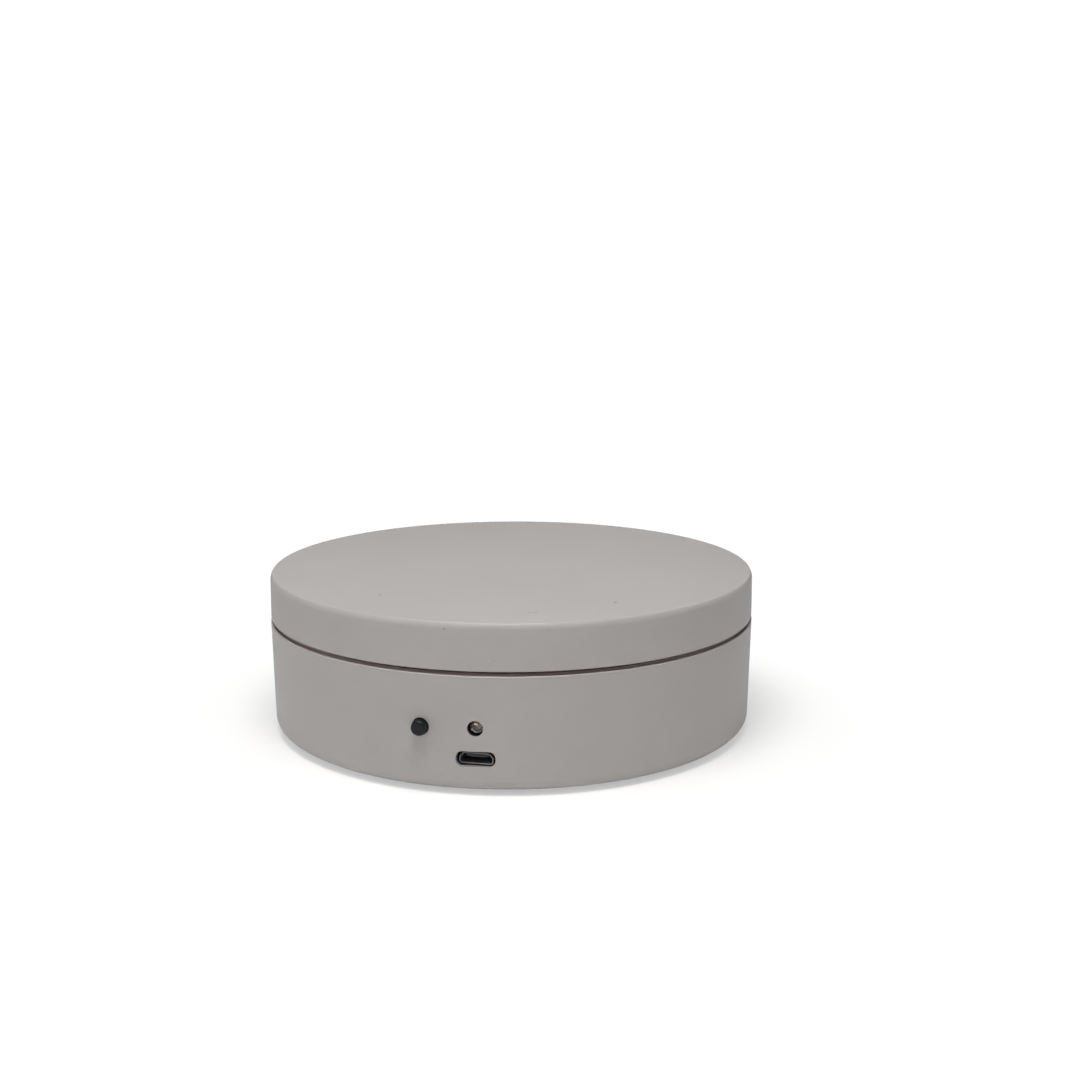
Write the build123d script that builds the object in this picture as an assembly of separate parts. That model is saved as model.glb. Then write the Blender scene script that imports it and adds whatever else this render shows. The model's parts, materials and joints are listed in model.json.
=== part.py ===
from build123d import *
import math
import os

# Motorised turntable display stand. Millimetres, +Z up. The origin is on the spindle axis, on the surface
# that the stand's feet rest on. The controls (button, light, charging inlet) face -Y.

# ---------------------------------------------------------------- driving dimensions
D_STAND = 120.0                      # nominal diameter
FOOT = 1.0                           # the feet stand this far below the housing's rim
R_TOP, R_SKIRT = 60.0, 60.07         # platter radius at its top and at the skirt's lower edge
R_SHOULDER, R_RIM = 60.17, 59.57     # base radius at its shoulder and at its rim (draft)
Z_RIM = FOOT                         # underside of the housing's rim
Z_SHOULDER = FOOT + 26.65            # housing shoulder
Z_SKIRT = FOOT + 27.54               # lower edge of the platter's skirt
Z_TOP = FOOT + 38.27                 # platter top
EDGE_TOP, EDGE_RIM = 1.25, 2.5       # rounding of the platter's top edge and of the housing's lower edge
WALL = 2.25
R_THIN = 58.55                       # inside of the thinner wall behind the button, lamp and inlet
DECK = 2.0                           # deck thickness
Z_DECK = Z_SHOULDER - DECK           # deck underside
TOP_T = 2.5                          # platter top thickness
Z_PAN = Z_TOP - TOP_T                # platter underside

R_RACE, BALL_D, BALLS = 48.0, 4.0, 24
RACE_W = 5.2
RACE_GAP = 0.10                      # groove radius over ball radius
Z_BALL = Z_SHOULDER + 1.95
Z_RACE_LOW = Z_BALL - 1.2            # top of the base's race ring
Z_RACE_HIGH = Z_BALL + 1.2           # underside of the platter's race ring

M_BIG, T_RING, T_PINION = 0.8, 60, 12
AXIS_X = M_BIG * (T_RING + T_PINION) / 2   # output shaft axis from the spindle
X_SHIFT_BIG = 0.29
SLACK_BIG = 0.16                     # backlash

MOTOR_X = AXIS_X + 8.0               # motor axis
MOTOR_R, MOTOR_H, MOTOR_WALL = 14.0, 19.0, 0.8
EAR_X = 17.5                         # ear holes from the motor axis
M_SMALL = 0.3
SLACK_SMALL = 0.06

PCB_T = 1.2
Z_PCB = FOOT + 10.1                  # top of the circuit board
PCB_X, PCB_FRONT, PCB_BACK = 17.0, -54.4, -34.4
BTN_X, BTN_Z, BTN_D, BTN_TRAVEL = -6.2, FOOT + 14.3, 3.5, 0.25
LED_X, LED_Z, LED_D = 6.2, FOOT + 14.6, 3.0
USB_X, USB_Z = 6.2, FOOT + 7.6
CELL_D, CELL_L = 18.2, 65.0
CELL_Y, CELL_Z = 27.5, 13.2
BOSS = 36.5                          # cover screw bosses at (+-BOSS, +-BOSS)
FOOT_R = 47.0                        # feet's circle

OUT = "parts"
os.makedirs(OUT, exist_ok=True)
PARTS = {}


# ---------------------------------------------------------------- helpers
def cyl(r, z0, z1, x=0.0, y=0.0):
    return Pos(x, y, (z0 + z1) / 2) * Cylinder(r, z1 - z0)


def ring(ro, ri, z0, z1, x=0.0, y=0.0):
    return cyl(ro, z0, z1, x, y) - cyl(ri, z0 - 1, z1 + 1, x, y)


def box(x0, x1, y0, y1, z0, z1):
    return Pos((x0 + x1) / 2, (y0 + y1) / 2, (z0 + z1) / 2) * Box(x1 - x0, y1 - y0, z1 - z0)


def ycyl(r, y0, y1, x, z):
    return Pos(x, (y0 + y1) / 2, z) * Rot(90, 0, 0) * Cylinder(r, y1 - y0)


def xcyl(r, x0, x1, y, z):
    return Pos((x0 + x1) / 2, y, z) * Rot(0, 90, 0) * Cylinder(r, x1 - x0)


def turned(points, rounds=()):
    """Solid of revolution about Z from (r, z) points; rounds lists (r, z, radius) corners to round."""
    face = make_face(Polyline(*[(r, 0, z) for r, z in points], close=True))
    for r, z, radius in rounds:
        corner = face.vertices().sort_by_distance((r, 0, z))[0]
        face = fillet(corner, radius)
    return revolve(face, Axis.Z, 360)


def prism(points, z0, z1, x=0.0, y=0.0):
    face = make_face(Polyline(*[(a + x, b + y, z0) for a, b in points], close=True))
    return extrude(face, amount=z1 - z0, dir=(0, 0, 1))


def prism_y(points, y0, y1):
    """Extruded along +Y from (x, z) points."""
    face = make_face(Polyline(*[(a, y0, b) for a, b in points], close=True))
    return extrude(face, amount=y1 - y0, dir=(0, 1, 0))


def prism_x(points, x0, x1):
    """Extruded along +X from (y, z) points."""
    face = make_face(Polyline(*[(x0, a, b) for a, b in points], close=True))
    return extrude(face, amount=x1 - x0, dir=(1, 0, 0))


def gear_points(teeth, module, shift=0.0, slack=0.0, phase=0.0, addendum=1.0, dedendum=1.25, steps=5):
    """Involute outline, one tooth centred on phase (radians). slack is the pair's backlash, half taken here."""
    alpha = math.radians(20)
    rp = module * teeth / 2
    rb = rp * math.cos(alpha)
    ra = rp + module * (addendum + shift)
    rf = rp - module * (dedendum - shift)
    half = (math.pi / 2 + 2 * shift * math.tan(alpha)) / teeth - slack / 4 / rp
    inv = lambda a: math.tan(a) - a

    def half_at(r):
        if r <= rb:
            return half + inv(alpha)
        return half + inv(alpha) - inv(math.acos(rb / r))

    start = max(rb, rf)
    radii = [start + (ra - start) * i / steps for i in range(steps + 1)]
    pts = []
    for t in range(teeth):
        c = phase + 2 * math.pi * t / teeth
        flank = ([(rf, min(half_at(rb), math.pi / teeth - 0.02))] if rf < rb - 1e-6 else []) + [(r, half_at(r)) for r in radii]
        pts += [(r * math.cos(c - h), r * math.sin(c - h)) for r, h in flank]
        pts += [(r * math.cos(c + h), r * math.sin(c + h)) for r, h in reversed(flank)]
    return pts


def meshed_phase(phase_a, teeth_a, teeth_b, direction):
    """Phase of gear B that meshes with gear A, which lies in the given direction's origin (A to B)."""
    delta = phase_a - direction
    return direction + math.pi - delta * teeth_a / teeth_b + math.pi / teeth_b


def tube(points, radii, d):
    """Straight runs joined by tangent arcs, as one swept tube."""
    path = FilletPolyline(*points, radius=radii)
    wire = path.wire() if hasattr(path, "wire") else path
    start = wire @ 0
    section = Plane(origin=start, z_dir=wire % 0) * Circle(d / 2)
    return sweep(section, path=wire, transition=Transition.ROUND)


def corner_radii(points, share=0.45):
    """Each corner's arc, 0.45 of its shorter run divided by the tangent of half its turn."""
    out = []
    for a, b, c in zip(points, points[1:], points[2:]):
        u, v = Vector(*b) - Vector(*a), Vector(*c) - Vector(*b)
        turn = math.radians(u.get_angle(v))
        out.append(share * min(u.length, v.length) / math.tan(turn / 2))
    return out


def put(name, shape, *more):
    """Write a node: one solid, or a group of separate solids."""
    solids = []
    for s in (shape, *more):
        solids += s.solids()
    PARTS[name] = len(solids)
    item = solids[0] if len(solids) == 1 else Compound(children=solids)
    item.label = name
    export_step(item, f"{OUT}/{name}.step")


def wall_y(x, z):
    """Y of the housing's outer wall, on the control side, at this x and height."""
    r = R_RIM + (R_SHOULDER - R_RIM) * (z - Z_RIM) / (Z_SHOULDER - Z_RIM)
    return -math.sqrt(r * r - x * x)


# ---------------------------------------------------------------- base housing
housing = turned(
    [
        (56.2, Z_RIM), (R_RIM, Z_RIM), (R_SHOULDER, Z_SHOULDER), (56.6, Z_SHOULDER), (56.6, Z_SHOULDER + 3.2),
        (55.0, Z_SHOULDER + 3.2), (55.0, Z_SHOULDER), (R_RACE + RACE_W / 2, Z_SHOULDER),
        (R_RACE + RACE_W / 2, Z_RACE_LOW), (R_RACE - RACE_W / 2, Z_RACE_LOW), (R_RACE - RACE_W / 2, Z_SHOULDER),
        (0, Z_SHOULDER), (0, Z_DECK), (R_SHOULDER - WALL, Z_DECK), (R_RIM - WALL, 5.2), (54.6, 5.2), (54.6, 3.6),
        (56.2, 3.6),
    ],
    rounds=[(R_RIM, Z_RIM, EDGE_RIM), (R_SHOULDER, Z_SHOULDER, 0.35), (R_SHOULDER - WALL, Z_DECK, 0.6)],
)
housing -= Pos(0, 0, Z_BALL) * Torus(R_RACE, BALL_D / 2 + RACE_GAP)
housing += cyl(8.0, Z_DECK - 6.0, Z_DECK)
housing -= cyl(5.05, Z_DECK - 7.0, Z_SHOULDER + 1)
housing -= cyl(5.2, Z_DECK - 1, Z_SHOULDER + 1, AXIS_X)
for sy in (-1, 1):
    housing += cyl(3.0, Z_SHOULDER - 0.5, Z_SHOULDER + 4.0, MOTOR_X, sy * EAR_X)
    housing -= cyl(1.45, Z_DECK - 1, Z_SHOULDER + 3.2, MOTOR_X, sy * EAR_X)
for sx in (-1, 1):
    housing += cyl(3.0, Z_PCB, Z_DECK, sx * 13.5, -37.4)
    housing -= cyl(1.15, Z_PCB - 1, Z_PCB + 8.5, sx * 13.5, -37.4)
    for sy in (-1, 1):
        housing += cyl(3.5, 3.6, Z_DECK, sx * BOSS, sy * BOSS)
        housing -= cyl(1.35, 3.0, 14.0, sx * BOSS, sy * BOSS)
    housing += box(sx * 20 - 1, sx * 20 + 1, 17.0, 38.0, 14.6, Z_DECK)
housing -= xcyl(CELL_D / 2 + 0.25, -34, 34, CELL_Y, CELL_Z)
# short webs that stiffen the deck between the bush boss and the wall
for a in (115, 180, 245, 270, 295):
    housing += Rot(0, 0, a) * box(7.6, 12.6, -0.75, 0.75, Z_DECK - 5.0, Z_DECK)
# the wall is thinner behind the button, the lamp and the inlet
housing -= box(-13.9, 13.9, -59.5, -50, 6.2, 18.4) & cyl(R_THIN, 6.2, 18.4)
housing -= ycyl(1.95, -63, -50, BTN_X, BTN_Z)
housing -= ycyl(1.75, -63, -50, LED_X, LED_Z)
usb_cut = Plane(origin=(USB_X, -50, USB_Z), x_dir=(1, 0, 0), z_dir=(0, -1, 0)) * RectangleRounded(8.6, 3.3, 1.35)
housing -= extrude(usb_cut, amount=13)
put("base_housing", housing)

# ---------------------------------------------------------------- bottom cover, screws, feet
cover = cyl(56.0, 1.6, 3.55)
cover = fillet(cover.edges().filter_by(GeomType.CIRCLE).sort_by(Axis.Z)[0], 0.4)
for sx in (-1, 1):
    for sy in (-1, 1):
        cover -= cyl(3.1, 1.0, 2.2, sx * BOSS, sy * BOSS)
        cover -= cyl(1.6, 1.0, 4.0, sx * BOSS, sy * BOSS)
for a in (0, 90, 180, 270):
    x, y = FOOT_R * math.cos(math.radians(a)), FOOT_R * math.sin(math.radians(a))
    cover -= cyl(5.1, 1.0, 2.2, x, y)
put("bottom_cover", cover)
# two saddles bonded to the cover, which hold the cell up against the ribs of the deck
put(
    "cell_cradle",
    *[
        box(sx * 24 - 1, sx * 24 + 1, 17.0, 38.0, 3.55, 11.8) - xcyl(CELL_D / 2 + 0.25, -34, 34, CELL_Y, CELL_Z)
        for sx in (-1, 1)
    ],
)


def pan_screw(x, y, z, r_head, h_head, r_shank, length, up=True, slot=0.6):
    """Cross-recess pan screw: the head's bearing face at z, the shank going up (or down) from it."""
    s = 1 if up else -1
    head = cyl(r_head, min(z, z - s * h_head), max(z, z - s * h_head), x, y)
    rim = head.edges().filter_by(GeomType.CIRCLE).sort_by(Axis.Z)
    head = fillet(rim[0] if up else rim[-1], h_head * 0.45)
    shank = cyl(r_shank, min(z, z + s * length), max(z, z + s * length), x, y)
    tip = z - s * h_head
    for a in (0, 90):
        head -= Pos(x, y, tip) * Rot(0, 0, a + 20) * Box(r_head * 1.1, slot, h_head * 1.1)
    return head + shank


put("cover_screws", *[pan_screw(sx * BOSS, sy * BOSS, 2.2, 2.6, 1.5 * 0.72, 1.25, 9.5) for sx in (-1, 1) for sy in (-1, 1)])

feet = []
for a in (0, 90, 180, 270):
    x, y = FOOT_R * math.cos(math.radians(a)), FOOT_R * math.sin(math.radians(a))
    f = cyl(5.0, 0.0, 2.2, x, y)
    feet.append(fillet(f.edges().filter_by(GeomType.CIRCLE).sort_by(Axis.Z)[0], 0.4))
put("rubber_feet", *feet)

# ---------------------------------------------------------------- platter
platter = turned(
    [
        (0, Z_TOP), (R_TOP, Z_TOP), (R_SKIRT, Z_SKIRT), (57.75, Z_SKIRT), (57.6, Z_PAN), (R_RACE + RACE_W / 2, Z_PAN),
        (R_RACE + RACE_W / 2, Z_RACE_HIGH), (R_RACE - RACE_W / 2, Z_RACE_HIGH), (R_RACE - RACE_W / 2, Z_PAN),
        (7.0, Z_PAN), (7.0, Z_SHOULDER + 2.55), (0, Z_SHOULDER + 2.55),
    ],
    rounds=[(R_TOP, Z_TOP, EDGE_TOP), (R_SKIRT, Z_SKIRT, 0.25), (57.6, Z_PAN, 1.0)],
)
Z_HUB = Z_SHOULDER + 2.55
for i in range(16):
    platter += Rot(0, 0, i * 22.5) * box(35.3, R_RACE - RACE_W / 2 + 0.5, -0.6, 0.6, Z_SHOULDER + 4.75, Z_PAN + 0.5)
for i in range(6):
    platter += Rot(0, 0, 30 + i * 60) * box(6.5, 23.0, -0.6, 0.6, Z_SHOULDER + 6.4, Z_PAN + 0.5)
    platter += Rot(0, 0, i * 60) * box(6.5, 13.5, -0.6, 0.6, Z_SHOULDER + 6.4, Z_PAN + 0.5)
Z_WEB = Z_SHOULDER + 5.7             # top of the drive gear
for a in (0, 120, 240):
    x, y = 16 * math.cos(math.radians(a)), 16 * math.sin(math.radians(a))
    platter += cyl(3.0, Z_WEB, Z_PAN + 0.5, x, y)
    platter -= cyl(1.2, Z_WEB - 1, Z_PAN + 0.7, x, y)
platter -= Pos(0, 0, Z_BALL) * Torus(R_RACE, BALL_D / 2 + RACE_GAP)
platter -= cyl(3.05, Z_HUB - 1, Z_PAN + 0.3)
put("platter_shell", platter)

# ring gear on the platter, and the pinion that drives it
PINION_PHASE = 0.0
ring_phase = meshed_phase(PINION_PHASE, T_PINION, T_RING, math.pi)
Z_RING0 = Z_SHOULDER + 1.2
ring_pts = gear_points(T_RING, M_BIG, -X_SHIFT_BIG, SLACK_BIG, ring_phase, steps=4)
drive_gear = prism(ring_pts, Z_RING0, Z_WEB) - cyl(20.3, Z_RING0 - 1, Z_WEB - 1.5) - cyl(7.4, Z_WEB - 2, Z_WEB + 1)
for a in (0, 120, 240):
    x, y = 16 * math.cos(math.radians(a)), 16 * math.sin(math.radians(a))
    drive_gear -= cyl(1.35, Z_WEB - 2, Z_WEB + 1, x, y)
for a in (60, 180, 300):
    x, y = 13.8 * math.cos(math.radians(a)), 13.8 * math.sin(math.radians(a))
    drive_gear -= cyl(3.6, Z_WEB - 2, Z_WEB + 1, x, y)
put("platter_drive_gear", drive_gear)
put("gear_screws", *[pan_screw(16 * math.cos(math.radians(a)), 16 * math.sin(math.radians(a)), Z_WEB - 1.5, 2.1, 1.4, 1.1, 5.2, slot=0.5) for a in (0, 120, 240)])

pinion_pts = gear_points(T_PINION, M_BIG, X_SHIFT_BIG, SLACK_BIG, PINION_PHASE, addendum=0.9, steps=6)
Z_FLAT = Z_DECK + 4.0                # the shaft's flats start here
pinion = prism(pinion_pts, Z_FLAT - 0.6, Z_WEB - 0.4, AXIS_X)
bore = cyl(2.55, Z_FLAT - 2, Z_WEB + 2, AXIS_X) & box(AXIS_X - 4, AXIS_X + 4, -1.55, 1.55, Z_FLAT - 3, Z_WEB + 3)
pinion -= bore
pinion -= cyl(2.6, Z_FLAT - 2, Z_FLAT + 0.05, AXIS_X)
pinion += ring(3.6, 2.6, Z_FLAT - 1.2, Z_FLAT - 0.6, AXIS_X)
put("drive_pinion", pinion)

# spindle with its clip, the washer under the hub, and the bush in the deck
Z_CLIP = Z_DECK - 6.0 - 1.05
spindle = cyl(3.0, Z_CLIP - 1.2, Z_PAN + 0.2)
spindle -= ring(4.0, 2.4, Z_CLIP, Z_CLIP + 0.7)
spindle = chamfer(spindle.edges().filter_by(GeomType.CIRCLE).sort_by(Axis.Z)[0], 0.4)
put("spindle", spindle)
clip = ring(4.6, 2.45, Z_CLIP + 0.05, Z_CLIP + 0.65) - box(0, 6, -1.7, 1.7, Z_CLIP - 1, Z_CLIP + 2)
put("retaining_clip", clip)
put("thrust_washer", ring(6.2, 3.15, Z_HUB - 0.6, Z_HUB))
put("spindle_bush", ring(5.0, 3.1, Z_DECK - 5.6, Z_SHOULDER) + ring(7.0, 3.1, Z_SHOULDER, Z_SHOULDER + 1.2))
# cap pressed over the boss, so that the bush's grease stays off the circuit board
Z_CAP = Z_CLIP - 1.2 - 0.3           # inside of the cap's floor, under the spindle's end
put("spindle_cap", ring(8.9, 8.0, Z_CAP, Z_DECK - 5.15) + cyl(8.9, Z_CAP - 0.5, Z_CAP))

# ---------------------------------------------------------------- ball race
cage = ring(R_RACE + 3.3, R_RACE - 3.3, Z_BALL - 0.6, Z_BALL + 0.6)
balls = []
for i in range(BALLS):
    a = 2 * math.pi * i / BALLS
    x, y = R_RACE * math.cos(a), R_RACE * math.sin(a)
    cage -= cyl(BALL_D / 2 + 0.15, Z_BALL - 2, Z_BALL + 2, x, y)
    balls.append(Pos(x, y, Z_BALL) * Sphere(BALL_D / 2))
put("ball_cage", cage)
put("bearing_balls", *balls)

# ---------------------------------------------------------------- geared stepper motor
ZM1 = Z_DECK                         # face of the motor's plate, against the deck
ZP = ZM1 - 0.8                       # underside of the face plate
ZM0 = ZM1 - MOTOR_H                  # underside of the can
R_IN = MOTOR_R - MOTOR_WALL
Z_MID1 = ZP - 6.6                    # top of the gear base plate
Z_MID0 = Z_MID1 - 0.6
can = cyl(MOTOR_R, ZM0, ZP, MOTOR_X) - cyl(R_IN, ZM0 + MOTOR_WALL, ZP + 1, MOTOR_X)
can = fillet(can.edges().filter_by(GeomType.CIRCLE).sort_by(Axis.Z)[0], 0.7)
can -= box(MOTOR_X + 10, MOTOR_X + 16, -5.0, 5.0, ZM0 + 1.6, ZM0 + 9.8)
put("motor_can", can)

# gear axes, seen from above, relative to the motor axis
P_OUT = (-8.0, 0.0)
G1 = (6.15 * math.cos(math.radians(60)), 6.15 * math.sin(math.radians(60)))
G2 = (G1[0] - 4.95, G1[1])
dx, dy = G2[0] - P_OUT[0], G2[1] - P_OUT[1]
dd = math.hypot(dx, dy)
along = (6.15 ** 2 - 5.25 ** 2 + dd ** 2) / (2 * dd)
off = math.sqrt(6.15 ** 2 - along ** 2)
G3 = (P_OUT[0] + along * dx / dd + off * dy / dd, P_OUT[1] + along * dy / dd - off * dx / dd)


def at(p):
    return MOTOR_X + p[0], p[1]


plate = cyl(MOTOR_R, ZP, ZM1, MOTOR_X) + box(MOTOR_X - 3.5, MOTOR_X + 3.5, -EAR_X, EAR_X, ZP, ZM1)
for sy in (-1, 1):
    plate += cyl(3.5, ZP, ZM1, MOTOR_X, sy * EAR_X)
for sy in (-1, 1):
    plate -= cyl(1.6, ZP - 1, ZM1 + 1, MOTOR_X, sy * EAR_X)
plate -= cyl(4.05, ZP - 1, ZM1 + 1, *at(P_OUT))
for g in (G2, G3):
    plate -= cyl(0.55, ZP - 1, ZM1 + 1, *at(g))
put("motor_face_plate", plate)

mid = cyl(R_IN - 0.1, Z_MID0, Z_MID1, MOTOR_X) - cyl(0.9, Z_MID0 - 1, Z_MID1 + 1, MOTOR_X)
mid -= cyl(1.2, Z_MID0 - 1, Z_MID1 + 1, *at(P_OUT))
mid -= cyl(0.55, Z_MID0 - 1, Z_MID1 + 1, *at(G1))
put("gear_base_plate", mid)

# stator: two stacks, each a bobbin with its winding between two claw plates
Z_ST = ZM0 + MOTOR_WALL
STACK = (Z_MID0 - Z_ST) / 2


def claw_plate(z, up, start):
    """Ring plate with eight tapered poles bent up or down along the rotor."""
    p = ring(R_IN - 0.1, 5.4, z, z + 0.6)
    reach = STACK - 1.2 - 0.5
    for i in range(8):
        w0, w1 = 0.8, 0.45
        if up:
            pts = [(-w0, z + 0.3), (w0, z + 0.3), (w1, z + 0.6 + reach), (-w1, z + 0.6 + reach)]
        else:
            pts = [(-w0, z + 0.3), (-w1, z - reach), (w1, z - reach), (w0, z + 0.3)]
        face = make_face(Polyline(*[(5.15, a, b) for a, b in pts], close=True))
        p += Rot(0, 0, start + i * 45) * extrude(face, amount=0.65, dir=(1, 0, 0))
    return Pos(MOTOR_X, 0, 0) * p


plates = []
for k in (0, 1):
    z = Z_ST + k * STACK
    plates.append(claw_plate(z, True, k * 11.25))
    plates.append(claw_plate(z + STACK - 0.6, False, 22.5 + k * 11.25))
put("stator_plates", *plates)
bobbins, coils = [], []
for k in (0, 1):
    z0, z1 = Z_ST + k * STACK + 0.62, Z_ST + (k + 1) * STACK - 0.62
    b = ring(12.9, 6.0, z0, z1, MOTOR_X) - ring(14.0, 6.6, z0 + 0.45, z1 - 0.45, MOTOR_X)
    bobbins.append(b)
    coils.append(ring(12.2, 6.65, z0 + 0.5, z1 - 0.5, MOTOR_X))
put("coil_bobbins", *bobbins)
put("coils", *coils)

magnet = ring(4.8, 1.55, Z_ST + 0.9, Z_MID0 - 0.9, MOTOR_X)
put("rotor_magnet", magnet)
hub = ring(1.5, 0.8, Z_ST + 0.7, Z_MID0 - 0.5, MOTOR_X)
put("rotor_hub", hub)
Z_L1 = Z_MID1 + 0.3
put("rotor_shaft", cyl(0.75, Z_ST + 0.15, Z_L1 + 1.35, MOTOR_X))
put("rotor_bush", ring(2.2, 0.85, Z_ST, Z_ST + 0.6, MOTOR_X))

S9, S11, S10 = 0.47, 0.353, 0.41
d1 = math.atan2(G1[1], G1[0])
d2 = math.atan2(G2[1] - G1[1], G2[0] - G1[0])
d3 = math.atan2(G3[1] - G2[1], G3[0] - G2[0])
d4 = math.atan2(P_OUT[1] - G3[1], P_OUT[0] - G3[0])


def small(teeth, shift, phase, **k):
    return gear_points(teeth, M_SMALL, shift, SLACK_SMALL, phase, **k)


Z_L2, Z_L3, Z_L4 = Z_L1 + 1.5, Z_L1 + 2.95, Z_L1 + 4.4
rotor_pinion = prism(small(9, S9, 0.0, addendum=0.85), Z_L1 - 0.1, Z_L1 + 1.3, *at((0, 0))) - cyl(0.78, Z_L1 - 1, Z_L1 + 2, *at((0, 0)))
put("rotor_pinion", rotor_pinion)


def compound(wheel, pinion_pts_, z0, zw, z1, where):
    g = prism(wheel, z0, zw, *at(where)) + prism(pinion_pts_, zw - 0.1, z1, *at(where))
    return g - cyl(0.56, z0 - 1, z1 + 1, *at(where))


g1 = compound(small(32, -S9, meshed_phase(0.0, 9, 32, d1), steps=3), small(11, S11, 0.0, addendum=0.9), Z_L1, Z_L1 + 1.2, Z_L2 + 1.2, G1)
put("gear_1", g1)
g2 = compound(small(22, -S11, meshed_phase(0.0, 11, 22, d2), steps=3), small(9, S9, 0.0, addendum=0.85), Z_L2, Z_L2 + 1.2, Z_L3 + 1.25, G2)
put("gear_2", g2)
g3 = compound(small(26, -S9, meshed_phase(0.0, 9, 26, d3), steps=3), small(10, S10, 0.0, addendum=0.9), Z_L3, Z_L3 + 1.1, Z_L4 + 1.5, G3)
put("gear_3", g3)
gout = prism(small(31, -S10, meshed_phase(0.0, 10, 31, d4), steps=3), Z_L4, Z_L4 + 1.3, *at(P_OUT)) - cyl(2.05, Z_L4 - 1, Z_L4 + 2, *at(P_OUT))
put("output_gear", gout)

ox, oy = at(P_OUT)
shaft = cyl(1.1, Z_MID0 + 0.1, Z_L4 + 0.2, ox) + cyl(2.0, Z_L4, Z_L4 + 1.3, ox) + cyl(2.5, Z_L4 + 1.3, Z_FLAT, ox)
shaft += cyl(2.5, Z_FLAT - 0.5, ZM1 + 10.0, ox) & box(ox - 4, ox + 4, -1.5, 1.5, Z_FLAT - 1, ZM1 + 12)
put("output_shaft", shaft)
put("output_bush", ring(4.0, 2.6, ZP + 0.05, ZM1, ox) + ring(4.5, 2.6, ZM1, ZM1 + 1.5, ox))
put("gear_pins", cyl(0.5, Z_MID0 + 0.05, Z_L2 + 1.35, *at(G1)), cyl(0.5, Z_L2 - 0.05, ZM1 - 0.1, *at(G2)), cyl(0.5, Z_L3 - 0.05, ZM1 - 0.1, *at(G3)))

wire_cover = box(MOTOR_X + 13.0, MOTOR_X + 17.2, -7.3, 7.3, ZM0 + 0.4, ZM0 + 11.0) - cyl(MOTOR_R + 0.05, ZM0 - 1, ZM1, MOTOR_X)
wire_cover -= box(MOTOR_X + 13.0, MOTOR_X + 16.2, -6.3, 6.3, ZM0 + 1.4, ZM0 + 10.0)
wire_cover -= box(MOTOR_X + 14.7, MOTOR_X + 16.1, -9, -5, ZM0 + 1.8, ZM0 + 9.4)
put("motor_wire_cover", wire_cover)
motor_screws = [pan_screw(MOTOR_X, sy * EAR_X, ZP, 2.6, 1.8, 1.35, 5.4) for sy in (-1, 1)]

# ---------------------------------------------------------------- circuit board and what is on it
pcb = box(-PCB_X, PCB_X, PCB_FRONT, PCB_BACK, Z_PCB - PCB_T, Z_PCB)
pcb = chamfer(pcb.edges().filter_by(Axis.Z).group_by(Axis.Y)[0], 1.5)
for sx in (-1, 1):
    pcb -= cyl(1.3, Z_PCB - 3, Z_PCB + 1, sx * 13.5, -37.4)
LED_LEG_Y = (-49.2, -46.7)
for y in LED_LEG_Y:
    pcb -= cyl(0.45, Z_PCB - 3, Z_PCB + 1, LED_X, y)
put("main_pcb", pcb)
pcb_screws = [pan_screw(sx * 13.5, -37.4, Z_PCB - PCB_T, 2.2, 1.4, 1.05, 7.0, slot=0.5) for sx in (-1, 1)]
put("inner_screws", *motor_screws, *pcb_screws)

# charging inlet, hung under the board: narrow side up, against the board
UZ1 = Z_PCB - PCB_T                  # 9.9
UZ0 = UZ1 - 2.6
Y_MOUTH, Y_SHELL = -58.8, -52.6


def inlet_section(g):
    """Section of the inlet's shell, g smaller all round."""
    w, n, k = 3.85 - g, 2.95 - g * 0.6, 1.0
    return [(USB_X - w, UZ0 + g), (USB_X + w, UZ0 + g), (USB_X + w, UZ1 - k), (USB_X + n, UZ1 - g), (USB_X - n, UZ1 - g), (USB_X - w, UZ1 - k)]


def inlet_body(g, y0, y1, low, high):
    """The inlet's section as a solid along Y, with its lower and upper corners rounded."""
    body = prism_y(inlet_section(g), y0, y1)
    ways = body.edges().filter_by(Axis.Y)
    body = fillet([e for e in ways if e.center().Z > UZ0 + 0.5], high)
    return fillet([e for e in body.edges().filter_by(Axis.Y) if e.center().Z < UZ0 + 0.5 and abs(e.center().X - USB_X) > 3.0], low)


shell = inlet_body(0.0, Y_MOUTH, Y_SHELL, 0.7, 0.4) - inlet_body(0.25, Y_MOUTH - 1, Y_SHELL - 0.3, 0.45, 0.2)
for sx in (-1, 1):
    x = USB_X + sx * 4.1
    shell += box(x - 0.3, x + 0.3, PCB_FRONT + 0.4, PCB_FRONT + 1.5, UZ0 + 0.9, UZ1)
put("usb_shell", shell)
tongue = box(USB_X - 3.2, USB_X + 3.2, Y_SHELL - 1.5, Y_SHELL - 0.35, UZ0 + 0.4, UZ1 - 0.95)
tongue += box(USB_X - 2.55, USB_X + 2.55, Y_MOUTH + 1.2, Y_SHELL - 1.0, UZ0 + 1.35, UZ0 + 1.95)
put("usb_tongue", tongue)
contacts = []
for i in range(5):
    x = USB_X + (i - 2) * 0.65
    contacts.append(box(x - 0.17, x + 0.17, Y_MOUTH + 1.45, Y_SHELL - 1.55, UZ0 + 1.2, UZ0 + 1.35))
put("usb_contacts", *contacts)

# light: clear 3 mm dome, its lead frame and its holder, which also carries the button's guide
Y_DOME = -59.5
lens = ycyl(LED_D / 2, Y_DOME + 1.5, -52.6, LED_X, LED_Z) + Pos(LED_X, Y_DOME + 1.5, LED_Z) * Sphere(LED_D / 2)
lens += ycyl(1.9, -52.6, -51.6, LED_X, LED_Z)
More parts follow.
